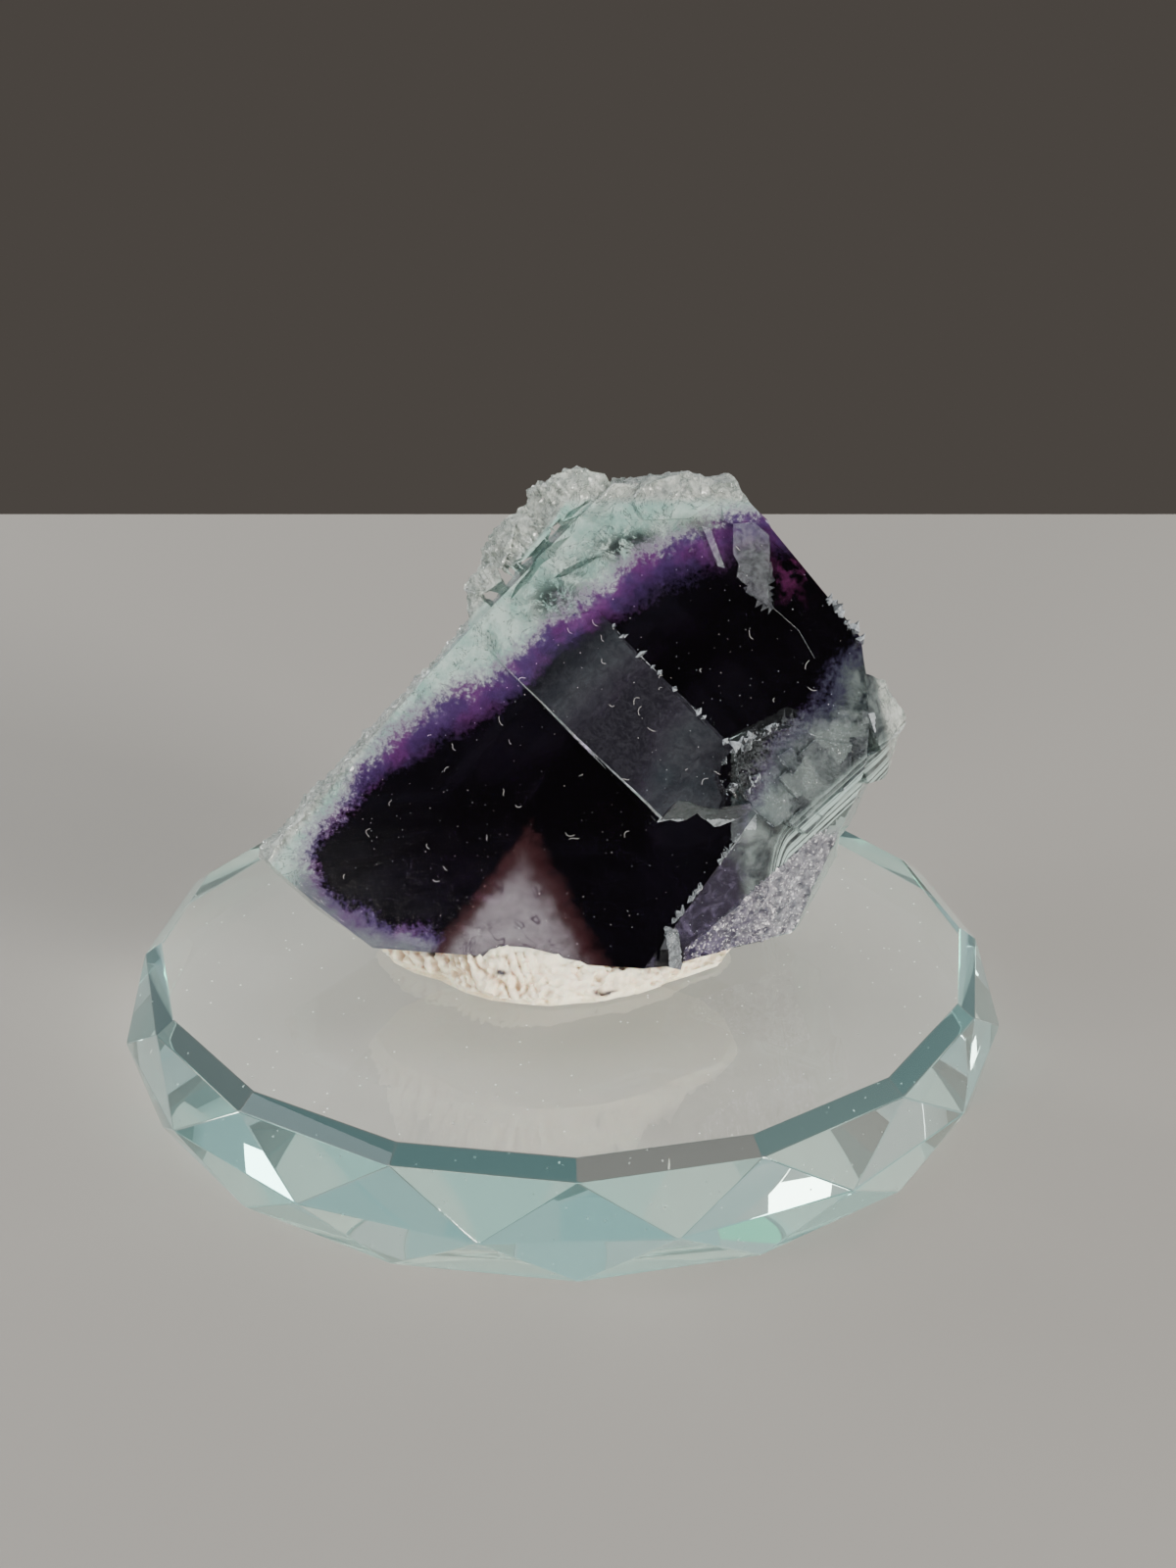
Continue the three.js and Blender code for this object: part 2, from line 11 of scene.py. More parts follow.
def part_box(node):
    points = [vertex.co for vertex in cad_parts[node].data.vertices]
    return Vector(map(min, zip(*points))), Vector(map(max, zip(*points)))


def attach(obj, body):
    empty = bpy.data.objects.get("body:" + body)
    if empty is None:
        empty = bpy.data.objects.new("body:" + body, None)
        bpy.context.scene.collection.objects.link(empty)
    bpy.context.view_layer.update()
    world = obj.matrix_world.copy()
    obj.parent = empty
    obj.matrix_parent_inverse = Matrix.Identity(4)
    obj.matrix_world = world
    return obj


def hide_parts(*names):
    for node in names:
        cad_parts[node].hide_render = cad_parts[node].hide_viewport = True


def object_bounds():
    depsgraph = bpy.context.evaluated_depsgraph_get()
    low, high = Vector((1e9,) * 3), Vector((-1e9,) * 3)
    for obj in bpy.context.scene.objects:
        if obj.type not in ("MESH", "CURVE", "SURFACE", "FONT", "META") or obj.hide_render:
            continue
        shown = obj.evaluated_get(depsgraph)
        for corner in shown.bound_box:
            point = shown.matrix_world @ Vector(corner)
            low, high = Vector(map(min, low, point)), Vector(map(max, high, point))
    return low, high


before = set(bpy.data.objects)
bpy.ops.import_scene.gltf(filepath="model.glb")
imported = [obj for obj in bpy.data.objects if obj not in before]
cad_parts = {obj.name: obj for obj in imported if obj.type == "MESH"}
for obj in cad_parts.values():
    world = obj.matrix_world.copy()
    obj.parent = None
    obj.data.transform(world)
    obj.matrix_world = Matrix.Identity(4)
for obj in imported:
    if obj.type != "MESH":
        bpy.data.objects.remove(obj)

cadLow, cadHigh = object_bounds()
mm = 0.001

# The crystal's front face leans back, and what is on it is placed in the face's own millimetres:
# u to the right, v up the face, w out of it towards the viewer
face = {
    "leanBack": 22.5,  # degrees
    "footForward": 13,
    "footHeight": 17.7,
    "middle": (4, 22),
}
leanBack = math.radians(face["leanBack"])
faceUp = Vector((0, math.sin(leanBack), math.cos(leanBack)))
faceOut = Vector((0, -math.cos(leanBack), math.sin(leanBack)))
faceFoot = Vector((0, -face["footForward"] * mm, face["footHeight"] * mm))


def onFace(u, v, w=0.0):
    return faceFoot + Vector((u * mm, 0, 0)) + faceUp * (v * mm) + faceOut * (w * mm)


# Selecting and editing

def selectOnly(piece):
    bpy.ops.object.select_all(action="DESELECT")
    piece.select_set(True)
    bpy.context.view_layer.objects.active = piece


def copyOfNode(nodeName, pieceName):
    piece = bpy.data.objects.new(pieceName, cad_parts[nodeName].data.copy())
    bpy.context.scene.collection.objects.link(piece)
    piece.data.materials.clear()
    selectOnly(piece)
    bpy.ops.mesh.customdata_custom_splitnormals_clear()
    bpy.ops.object.mode_set(mode="EDIT")
    bpy.ops.mesh.select_all(action="SELECT")
    bpy.ops.mesh.remove_doubles(threshold=0.002 * mm)
    bpy.ops.object.mode_set(mode="OBJECT")
    return piece


def triplesOf(items, name):
    flat = np.empty(len(items) * 3)
    items.foreach_get(name, flat)
    return flat.reshape(-1, 3)


def spots(mesh):
    return triplesOf(mesh.vertices, "co")


def normalsOf(mesh):
    return triplesOf(mesh.vertices, "normal")


def facetsOf(mesh):
    return triplesOf(mesh.polygons, "center"), triplesOf(mesh.polygons, "normal")


def moveSpots(mesh, places):
    mesh.vertices.foreach_set("co", places.ravel())
    mesh.update()


# Joins flat neighbours into whole faces and cuts them into even triangles
def evenTriangles(piece):
    selectOnly(piece)
    bpy.ops.object.mode_set(mode="EDIT")
    bpy.ops.mesh.select_all(action="SELECT")
    bpy.ops.mesh.dissolve_limited(angle_limit=math.radians(0.5))
    bpy.ops.mesh.quads_convert_to_tris(quad_method="BEAUTY", ngon_method="BEAUTY")
    bpy.ops.object.mode_set(mode="OBJECT")


# Splits every edge longer than its place allows, until none is
def refine(piece, longestAt, rounds=10):
    selectOnly(piece)
    bpy.context.tool_settings.mesh_select_mode = (False, True, False)
    mesh = piece.data
    for _ in range(rounds):
        places = spots(mesh)
        ends = np.empty(len(mesh.edges) * 2, dtype=np.int32)
        mesh.edges.foreach_get("vertices", ends)
        a, b = places[ends[0::2]], places[ends[1::2]]
        tooLong = np.linalg.norm(b - a, axis=1) > longestAt((a + b) / 2)
        if not tooLong.any():
            break
        mesh.vertices.foreach_set("select", np.zeros(len(mesh.vertices), dtype=bool))
        mesh.polygons.foreach_set("select", np.zeros(len(mesh.polygons), dtype=bool))
        mesh.edges.foreach_set("select", tooLong)
        bpy.ops.object.mode_set(mode="EDIT")
        bpy.ops.mesh.subdivide(number_cuts=1)
        bpy.ops.mesh.select_all(action="SELECT")
        bpy.ops.mesh.quads_convert_to_tris(quad_method="SHORTEST_DIAGONAL", ngon_method="BEAUTY")
        bpy.ops.mesh.beautify_fill(angle_limit=math.radians(1))
        bpy.ops.object.mode_set(mode="OBJECT")


def toFace(places):
    away = (places - np.array(faceFoot)) / mm
    return away[:, 0], away @ np.array(faceUp), away @ np.array(faceOut)


def smooth(low, high, value):
    t = np.clip((value - low) / (high - low), 0, 1)
    return t * t * (3 - 2 * t)


# How far a spot lies from a line with corners, in millimetres
def farFromLine(corners, u, v):
    nearest = np.full(len(u), 1e9)
    for (u0, v0), (u1, v1) in zip(corners, corners[1:]):
        du, dv = u1 - u0, v1 - v0
        t = np.clip(((u - u0) * du + (v - v0) * dv) / (du * du + dv * dv), 0, 1)
        nearest = np.minimum(nearest, np.hypot(u - u0 - t * du, v - v0 - t * dv))
    return nearest


# How far a spot lies inside an outline, in millimetres, and less than nothing outside it
def insideBy(outline, u, v):
    closed = outline + outline[:1]
    nearest = farFromLine(closed, u, v)
    inside = np.zeros(len(u), dtype=bool)
    for (u0, v0), (u1, v1) in zip(closed, closed[1:]):
        inside ^= ((v0 > v) != (v1 > v)) & (u < (u1 - u0) * (v - v0) / (v1 - v0 + 1e-12) + u0)
    return np.where(inside, nearest, -nearest)


# Smooth noise from -1 to 1, with features of about the given size in millimetres
def bumps(places, size, seed=0.0, octaves=1):
    shift = Vector((seed * 7.31, seed * 3.17, seed * 5.53))
    scale = 1 / (size * mm)
    total = np.zeros(len(places))
    share = 1.0
    for octave in range(octaves):
        step = scale * 2 ** octave
        layer = [noise.noise(Vector(place) * step + shift) for place in places]
        total += share * np.array(layer)
        share *= 0.5
    return total


# A number from 0 to 1 for each row of whole numbers, always the same one for the same row
def shuffled(rows):
    weights = np.array([12.99, 78.23, 37.72, 4.14])[:rows.shape[1]]
    return np.abs(np.sin(rows @ weights) * 43758.5) % 1


def keepValues(mesh, name, values, domain="POINT"):
    attribute = mesh.attributes.new(name, "FLOAT", domain)
    attribute.data.foreach_set("value", values.astype(np.float32))


# Material building

def newMaterial(name):
    material = bpy.data.materials.new(name)
    material.use_nodes = True
    return material, material.node_tree, material.node_tree.nodes["Principled BSDF"]


def put(tree, kind, inputs=None, **settings):
    node = tree.nodes.new(kind)
    for setting, value in settings.items():
        setattr(node, setting, value)
    for name, value in (inputs or {}).items():
        socket = node.inputs[name]
        if isinstance(value, bpy.types.NodeSocket):
            tree.links.new(value, socket)
        else:
            socket.default_value = value
    return node


def valueOf(tree, name):
    return put(tree, "ShaderNodeAttribute", attribute_name=name).outputs["Fac"]


def reckon(tree, operation, first, second=0.0, clamp=False):
    node = put(tree, "ShaderNodeMath", {0: first, 1: second}, operation=operation, use_clamp=clamp)
    return node.outputs[0]


def partOf(tree, name, share):
    return reckon(tree, "MULTIPLY", valueOf(tree, name), share)


# A cloud that swings round zero, by half the given amount at most
def swing(tree, cloud, amount):
    return reckon(tree, "MULTIPLY", reckon(tree, "SUBTRACT", cloud, 0.5), amount)


# Zero along the lines where a cloud passes its middle value, and more beside them
def thinLines(tree, cloud):
    return reckon(tree, "ABSOLUTE", reckon(tree, "SUBTRACT", cloud, 0.5))


def blendColours(tree, share, first, second):
    node = tree.nodes.new("ShaderNodeMix")
    node.data_type = "RGBA"
    for index, value in ((0, share), (6, first), (7, second)):
        if isinstance(value, bpy.types.NodeSocket):
            tree.links.new(value, node.inputs[index])
        elif index:
            node.inputs[index].default_value = (*value, 1)
        else:
            node.inputs[index].default_value = value
    return node.outputs[2]


def stepsBetween(tree, value, low, high):
    node = put(tree, "ShaderNodeMapRange", {"Value": value, "From Min": low, "From Max": high})
    node.interpolation_type = "SMOOTHSTEP"
    return node.outputs["Result"]


def newGroup(name, inputs, outputs):
    group = bpy.data.node_groups.new(name, "ShaderNodeTree")
    for label, default in inputs:
        socket = group.interface.new_socket(label, in_out="INPUT", socket_type="NodeSocketFloat")
        socket.default_value = default
    for label in outputs:
        group.interface.new_socket(label, in_out="OUTPUT", socket_type="NodeSocketFloat")
    return group, group.nodes.new("NodeGroupInput"), group.nodes.new("NodeGroupOutput")


# Object coordinates, shifted by the seed, so that a pattern stays on its piece
def placeAndScale(group, given, sizeLabel):
    place = put(group, "ShaderNodeTexCoord").outputs["Object"]
    metres = reckon(group, "MULTIPLY", given.outputs["Seed mm"], mm)
    shifted = put(group, "ShaderNodeVectorMath", {0: place, 1: metres}, operation="ADD").outputs[0]
    return {"Vector": shifted, "Scale": reckon(group, "DIVIDE", 1 / mm, given.outputs[sizeLabel])}


# Clouds: soft blotches and a finer grain
def cloudGroup():
    group, given, result = newGroup(
        "clouds",
        [("Size mm", 5), ("Detail", 5), ("Roughness", 0.6), ("Twist", 0), ("Seed mm", 0)],
        ["Value"],
    )
    cloud = put(group, "ShaderNodeTexNoise", {
        **placeAndScale(group, given, "Size mm"),
        "Detail": given.outputs["Detail"],
        "Roughness": given.outputs["Roughness"],
        "Distortion": given.outputs["Twist"],
    })
    group.links.new(cloud.outputs["Fac"], result.inputs["Value"])
    return group


# Dust: sparse round specks
def dustGroup():
    group, given, result = newGroup("dust", [("Spacing mm", 2), ("Size", 0.05), ("Seed mm", 0)], ["Mask"])
    cells = put(group, "ShaderNodeTexVoronoi", placeAndScale(group, given, "Spacing mm"))
    mask = reckon(group, "LESS_THAN", cells.outputs["Distance"], given.outputs["Size"])
    group.links.new(mask, result.inputs["Mask"])
    return group


clouds = cloudGroup()
dust = dustGroup()


def cloudsIn(tree, size, detail=5, roughness=0.6, twist=0, seed=0):
    values = {"Size mm": size, "Detail": detail, "Roughness": roughness, "Twist": twist, "Seed mm": seed}
    return put(tree, "ShaderNodeGroup", values, node_tree=clouds).outputs["Value"]


def dustIn(tree, spacing, size, seed=0):
    values = {"Spacing mm": spacing, "Size": size, "Seed mm": seed}
    return put(tree, "ShaderNodeGroup", values, node_tree=dust).outputs["Mask"]


# The crystal
crystal = {
    "flatEdge": 1.1,  # mm, longest mesh edge on smooth cleavage faces
    "roughEdge": 0.42,  # and where the surface is broken or overgrown
    "ior": 1.434,
    "transmission": 0.6,
    "dullness": {"smudges": 0.12, "break": 0.22, "steps": 0.1},
    # The outline of the purple core, in face millimetres, from the lower left round by the top
    "coreOutline": [
        (-14.2, 1.5), (-19, 1.8), (-21.4, 3.2), (-24.8, 4.5), (-26.7, 6.6), (-27.7, 10.4), (-26.3, 13.4),
        (-24.3, 15.6), (-23, 18.3), (-18.4, 23.7), (-13.1, 26.9), (-7.4, 30), (-3.4, 33.4), (3.9, 39.4),
        (8.2, 42.6), (15.1, 45.6), (18.6, 47.4), (22.5, 48), (28, 44.5), (34, 38.5), (34, 35), (30.5, 31),
        (28.5, 27), (24, 23.6), (21.6, 19), (20.4, 15), (20.6, 11), (21, 7.6), (19, 3.4), (17.6, -1),
        (10, -4), (-8, -4),
    ],
    # The window in the foot of the core, where the pale tack showing through is painted in as a milky lilac
    # grey
    "windowCorners": [(-12, 2.2), (-3.7, 13), (3.2, 0.4)],
    "stripOutline": [
        (-9.6, 35), (-5.6, 30.6), (-1.4, 26.6), (2.4, 22.8), (5.1, 20.3), (9.1, 16.6), (10.9, 14.8),
        (12, 16.1), (14.8, 16.1), (17.2, 15.7), (18, 17.2), (16.9, 19.2), (17.3, 20.8), (18.5, 22.3),
        (13.5, 27.4), (7.1, 33.7), (4.1, 37.2),
    ],
    "lowerRidge": [(-9.6, 35), (2.4, 22.8), (10.9, 14.8)],
    "upperRidge": [(4.1, 37.2), (13.5, 27.3), (18.5, 22.3)],
    "crack": [(20.4, 37.4), (22.9, 37.2), (25.6, 34.8), (27.3, 31.8)],
    # The shell-shaped break below the strip
    "shellOutline": [(10.6, 13.4), (21.2, 13.4), (21.2, 16.2), (14.8, 16.6), (12.6, 17), (10.9, 15.2)],
    # The square steps: where their colour goes, where their facets are, and where their mesh is fine
    "stepsOutline": [(14, 17), (20, 14.6), (27, 12), (35, 19.5), (33, 26), (24, 26)],
    "stepFacets": [(11, 15), (19, 12), (27, 11), (34, 18), (34, 26), (24, 26.4), (17, 23)],
    "stepMesh": [(9, 13), (17, 27), (34, 24), (36, 18), (27, 11)],
    "fineFrom": {"crustLine": -0.3, "top": 46.5, "tip": 33, "steps": -3},
    "breakMesh": [(14, -4), (11, 2), (21, 12), (26, 12), (33, 14), (34, 4), (26, -4)],
    # The crust begins past a line, given by a spot on it and the way that leads away from it
    "crustLine": [(-10.2, 34.8), (-0.776, 0.63)],
    "tipLine": {"from": 33.6, "lean": 0.187, "middle": 31},
    # Ways across the face: the crust's fibres run one way, and the square steps the other
    "fibreWay": (0.57, -0.82),
    "stepWay": (0.72, -0.69),
    # Ways that the break and the bevel face: round the face and forward, in degrees
    "breakFacing": (-44, 44),
    "bevelFacing": (-35.7, 68),
    "bevelLine": [(19.3, 12.7), (12.3, 3.5)],
    # The striped band along the lower right edge
    "edgeLine": [(28, 12.4), (35.7, 19.4)],
    "edgeBandWidth": 4.2,
    # Soft patches of colour: their middle, their reach both ways and their slope
    "murkPatches": [((7.4, 44.1), (5, 1.9), 0.15), ((-0.3, 38.2), (3.8, 2.6), 0)],
    "winePatches": [((24.6, 41.3), (1.9, 2.4), 0)],
    "olivePatch": ((14.6, 46.6), (3.4, 1.1)),
    # Where things fade in: the value at which there is nothing, and the value at which there is all
    "fades": {
        "crustFoot": (0.2, 1.2), "crustRight": (2.5, -1),
        "lumpsTop": (48.2, 49.6), "lumpsLeft": (-4.5, -3), "lumpsRight": (24, 21),
        "tipLeft": (0, 1), "tipFoot": (17, 19),
        "breakFacing": (0.935, 0.975), "breakTop": (14, 12), "breakLeft": (12, 15), "breakGrey": (11, 24),
        "stepsInside": (0, 2), "stepsDepth": (-3, -1),
        "back": (-0.2, -0.5), "side": (0.5, 0.2),
        "windowDepth": (-1, -5), "windowMilk": (11, 5.5),
        "footTop": (9, 3), "footRight": (-6, -9), "footLeft": (-31, -28),
        "bandTop": (27, 36), "bandRight": (30, 20), "bandLeftFoot": (15, 22), "bandLeft": (0, -10),
        "hollowFoot": (16, 26), "hollowDepth": (0.12, -0.3),
        "rightSide": (10, 26),
        "bevelFacing": (0.985, 0.998), "bevelLeft": (9, 10), "bevelTop": (17, 15),
        "bevelPale": (18.6, 21.6),
        "edgeLeft": (22, 25), "edgeTop": (25, 22),
        "olive": (0.4, -1.6),
    },
    "noiseSizes": {"fine": 0.9, "finer": 0.45, "wide": 3.2, "fibres": 0.5, "foil": 1.9},
    # Height of each kind of relief in each region, in millimetres, and how far the region is set back
    "relief": {
        "rough": {"foil": 0.45, "ridged": 0.14, "wide": 0.25, "setBack": 0.3},
        "crust": {"fibres": 0.4, "fine": 0.16, "terraces": 0.4, "setBack": 0.2},
        "lumps": {"fine": 0.26, "wide": 0.3, "terraces": 0.3, "fibres": 0.1, "setBack": 0.25},
        "tip": {"fine": 0.12, "wide": 0.2, "terraces": 0.1, "setBack": 0.1},
        "squares": {"terraces": 0.1, "fine": 0.07, "finer": 0.04},
        "back": {"terraces": 0.22, "fine": 0.05, "setBack": 0.1},
        "side": {"terraces": 0.1, "fine": 0.05, "setBack": 0.05},
    },
    # How near to its line a lit facet lies, in millimetres, and how far facets tip off the face, from
    # 0 for lying flat to 1 for standing square to it
    "nearLine": {"upperRidge": 1.1, "crack": 0.6, "lowerRidge": 0.7, "bevelLine": 0.22},
    "tips": {"flat": 0.02, "shell": 0.03, "chips": 0.06, "edge": 0.1, "walls": 0.12},
    # Facets with a painted highlight, where they catch the light: the wall under the strip's lower ridge,
    # the chip that hangs at the upper right, the splinter at the foot of the bevel, and the blade beside
    # the hanging chip. Each has its least height over the face and its least tip
    "litFacets": [
        {"around": [(1.4, 23.6), (10.2, 13.6), (11.2, 14.9), (2.8, 23)],
         "above": 0, "tipped": 0.03, "light": 0.75},
        {"around": [(18.3, 46.8), (22.9, 46.8), (22.7, 37), (21, 38), (18.6, 40.6)],
         "above": 0.45, "tipped": -1, "light": 0.2},
        {"around": [(11.1, 3), (12.7, 2.4), (13.3, -2.4), (12, -2.6)],
         "above": -2, "tipped": -1, "light": 0.4},
        {"around": [(14.9, 46.4), (16.3, 46.4), (18, 41.5), (16.7, 41.5)],
         "above": 0.3, "tipped": -1, "light": 0.26},
    ],
    # How bright the painted highlights on the other small facets are; of two numbers, the first is for the
    # dull ones
    "light": {
        "treads": 0.16, "walls": 0.3, "brightWalls": 0.8, "ridgeChips": (0.3, 0.85), "crack": 0.55,
        "lowerRidge": 0.4, "bevelLine": 0.36, "shell": (0.1, 0.6), "rightEdge": (0.2, 0.7), "sparks": 1,
    },
    "colours": {
        "rim": ((0.38, 0.63, 0.57), (0.72, 0.90, 0.84)),
        "murk": (0.042, 0.056, 0.056),
        "vein": (0.06, 0.08, 0.09),
        "stepMottle": ((0.015, 0.019, 0.025), (0.21, 0.25, 0.245)),
        "stepPlates": ((0.012, 0.015, 0.022), (0.24, 0.29, 0.28)),
        "leftFoot": (0.12, 0.105, 0.145),
        "veil": (0.36, 0.34, 0.43),
        "veilRight": (0.05, 0.05, 0.085),
        "veilFoot": (0.085, 0.065, 0.125),
        "violet": ((0.08, 0.034, 0.155), (0.145, 0.032, 0.185)),
        "violetRight": (0.022, 0.016, 0.045),
        "black": (0.0008, 0.0004, 0.0016),
        "wine": (0.12, 0.018, 0.085),
        "burgundy": (0.04, 0.011, 0.014),
        # milk: the painted light of the tack that shows through the window
        "milk": ((0.10, 0.075, 0.10), (0.42, 0.37, 0.41)),
        "windowCrack": (0.09, 0.06, 0.09),
        "olive": (0.055, 0.06, 0.03),
        # strip: a painted sheen, the grey reflection that the strip's tilted facets catch, mottled by noise
        "strip": ((0.022, 0.021, 0.030), (0.052, 0.052, 0.066)),
        "bevel": ((0.010, 0.005, 0.020), (0.13, 0.10, 0.19)),
        "edgeStripe": (0.62, 0.78, 0.74),
        # glint: the colour of the painted highlights, and also of the real specks of dust
        "glint": (0.72, 0.78, 0.84),
        "crust": ((0.33, 0.38, 0.35), (0.84, 0.88, 0.83)),
        "crustCut": (0.16, 0.19, 0.19),
        # painted shade in the crust's hollows
        "crustHollow": (0.17, 0.19, 0.185),
        "breakPurple": ((0.018, 0.008, 0.045), (0.17, 0.13, 0.25)),
        "breakGrey": ((0.10, 0.09, 0.13), (0.42, 0.40, 0.46)),
        "breakSpark": (1, 0.96, 1),
    },
}


def fade(name, value):
    return smooth(*crystal["fades"][name], value)


# A direction given by the way it looks across the face and how far it tips forward, in degrees
def onDirection(around, forward):
    a, f = math.radians(around), math.radians(forward)
    across = Vector((1, 0, 0)) * math.cos(a) + faceUp * math.sin(a)
    return np.array(across * math.cos(f) + faceOut * math.sin(f))


def within(name, u, v):
    return insideBy(crystal[name], u, v) > 0


def pastCrustLine(u, v):
    (footU, footV), (awayU, awayV) = crystal["crustLine"]
    return awayU * (u - footU) + awayV * (v - footV)


# How far a spot lies within the two sides that meet in a corner; the left side is the crisper one
def insideCorner(corners, u, v):
    (u0, v0), (u1, v1), (u2, v2) = corners
    left = ((v1 - v0) * (u - u0) - (u1 - u0) * (v - v0)) / math.hypot(u1 - u0, v1 - v0)
    right = ((v2 - v1) * (u - u1) - (u2 - u1) * (v - v1)) / math.hypot(u2 - u1, v2 - v1)
    return np.minimum(1.6 * left, right)


def nearLine(name, u, v):
    return farFromLine(crystal[name], u, v) < crystal["nearLine"][name]


def softPatches(patches, u, v):
    total = np.zeros(len(u))
    for (middleU, middleV), (reachU, reachV), slope in patches:
        du = u - middleU
        total += np.exp(-(du / reachU) ** 2 - ((v - middleV - slope * du) / reachV) ** 2)
    return total


# How much each spot belongs to each region of the surface, from 0 to 1
def crystalRegions(places, normals):
    u, v, w = toFace(places)
    outward = normals @ np.array(faceOut)
    overgrown = fade("crustFoot", pastCrustLine(u, v))
    onBreak = fade("breakFacing", normals @ onDirection(*crystal["breakFacing"]))
    back = fade("back", outward)
    tip = crystal["tipLine"]
    pastTipLine = u - tip["from"] - tip["lean"] * (tip["middle"] - v)
    return {
        "crust": overgrown * fade("crustRight", u),
        "lumps": np.maximum(fade("lumpsTop", v), overgrown * fade("lumpsLeft", u)) * fade("lumpsRight", u),
        "tip": fade("tipLeft", pastTipLine) * fade("tipFoot", v),
        "rough": onBreak * fade("breakTop", v) * fade("breakLeft", u),
        "squares": fade("stepsInside", insideBy(crystal["stepsOutline"], u, v)) * fade("stepsDepth", w),
        "back": back,
        "side": fade("side", outward) * (1 - back),
    }


def crystalEdgeAt(places):
    u, v, w = toFace(places)
    start = crystal["fineFrom"]
    overgrown = (pastCrustLine(u, v) > start["crustLine"]) | (v > start["top"]) | (u > start["tip"])
    stepped = within("stepMesh", u, v) & (w > start["steps"])
    fine = within("breakMesh", u, v) | overgrown | stepped
    return np.where(fine, crystal["roughEdge"], crystal["flatEdge"]) * mm


# These painted highlights, and the mask of the strip's painted sheen, go on whole facets, so that they end
# crisply at the facets' edges
def keepLitFacets(mesh, rough):
    centres, outward = facetsOf(mesh)
    u, v, w = toFace(centres)
    tipped = 1 - outward @ np.array(faceOut)
    light, tips = crystal["light"], crystal["tips"]
    lit = np.zeros(len(centres))
    for facet in crystal["litFacets"]:
        inside = (insideBy(facet["around"], u, v) > 0) & (w > facet["above"]) & (tipped > facet["tipped"])
        lit[inside] = facet["light"]
    # Every plane of the square steps and the rubble gets a painted highlight of a brightness of its own
    offset = np.round(np.sum(centres * outward, axis=1) / (0.4 * mm))
    mixed = shuffled(np.column_stack([np.round(outward * 6), offset]))
    stepped = within("stepFacets", u, v) & (w > -0.5)
    treads = stepped & (tipped <= tips["walls"]) & (u > 18.4)
    lit[treads] = light["treads"] * mixed[treads]
    walls = stepped & (tipped > tips["walls"])
    lit[walls] = np.where(mixed[walls] > 0.72, light["brightWalls"], light["walls"] * mixed[walls])
    chips = (tipped > tips["chips"]) & (w > 0.1) & (v > 21)
    upper = chips & nearLine("upperRidge", u, v)
    lit[upper] = np.where(mixed[upper] > 0.4, light["ridgeChips"][1], light["ridgeChips"][0])
    lit[chips & nearLine("crack", u, v)] = light["crack"]
    lower = (tipped > tips["chips"]) & (w > -0.05) & (v > 20) & nearLine("lowerRidge", u, v)
    lit[lower] = np.maximum(lit[lower], light["lowerRidge"])
    lit[nearLine("bevelLine", u, v) & (bumps(centres, 1.5, seed=9) > -0.05)] = light["bevelLine"]
    shell = within("shellOutline", u, v) & (tipped > tips["shell"])
    lit[shell] = np.where(w[shell] < 0.75, light["shell"][1], light["shell"][0])
    rightEdge = (tipped > tips["edge"]) & (w > -1.2) & (u + 0.83 * v > 60.2) & (v < 47) & (v > 27)
    lit[rightEdge] = np.where(mixed[rightEdge] > 0.5, light["rightEdge"][1], light["rightEdge"][0])
    corners = np.empty(len(mesh.loops), dtype=np.int32)
    mesh.loops.foreach_get("vertex_index", corners)
    # Random facets of the break get a painted spark of light
    sparks = np.random.default_rng(8).random(len(centres))
    lit[(rough[corners[::3]] > 0.3) & (sparks > 0.9)] = light["sparks"]
    keepValues(mesh, "lit", lit, "FACE")
    # The strip's flat facets, which get a painted sheen
    stripSheenShare = within("stripOutline", u, v) & (tipped < tips["flat"]) & (w > -0.3)
    keepValues(mesh, "strip", stripSheenShare, "FACE")


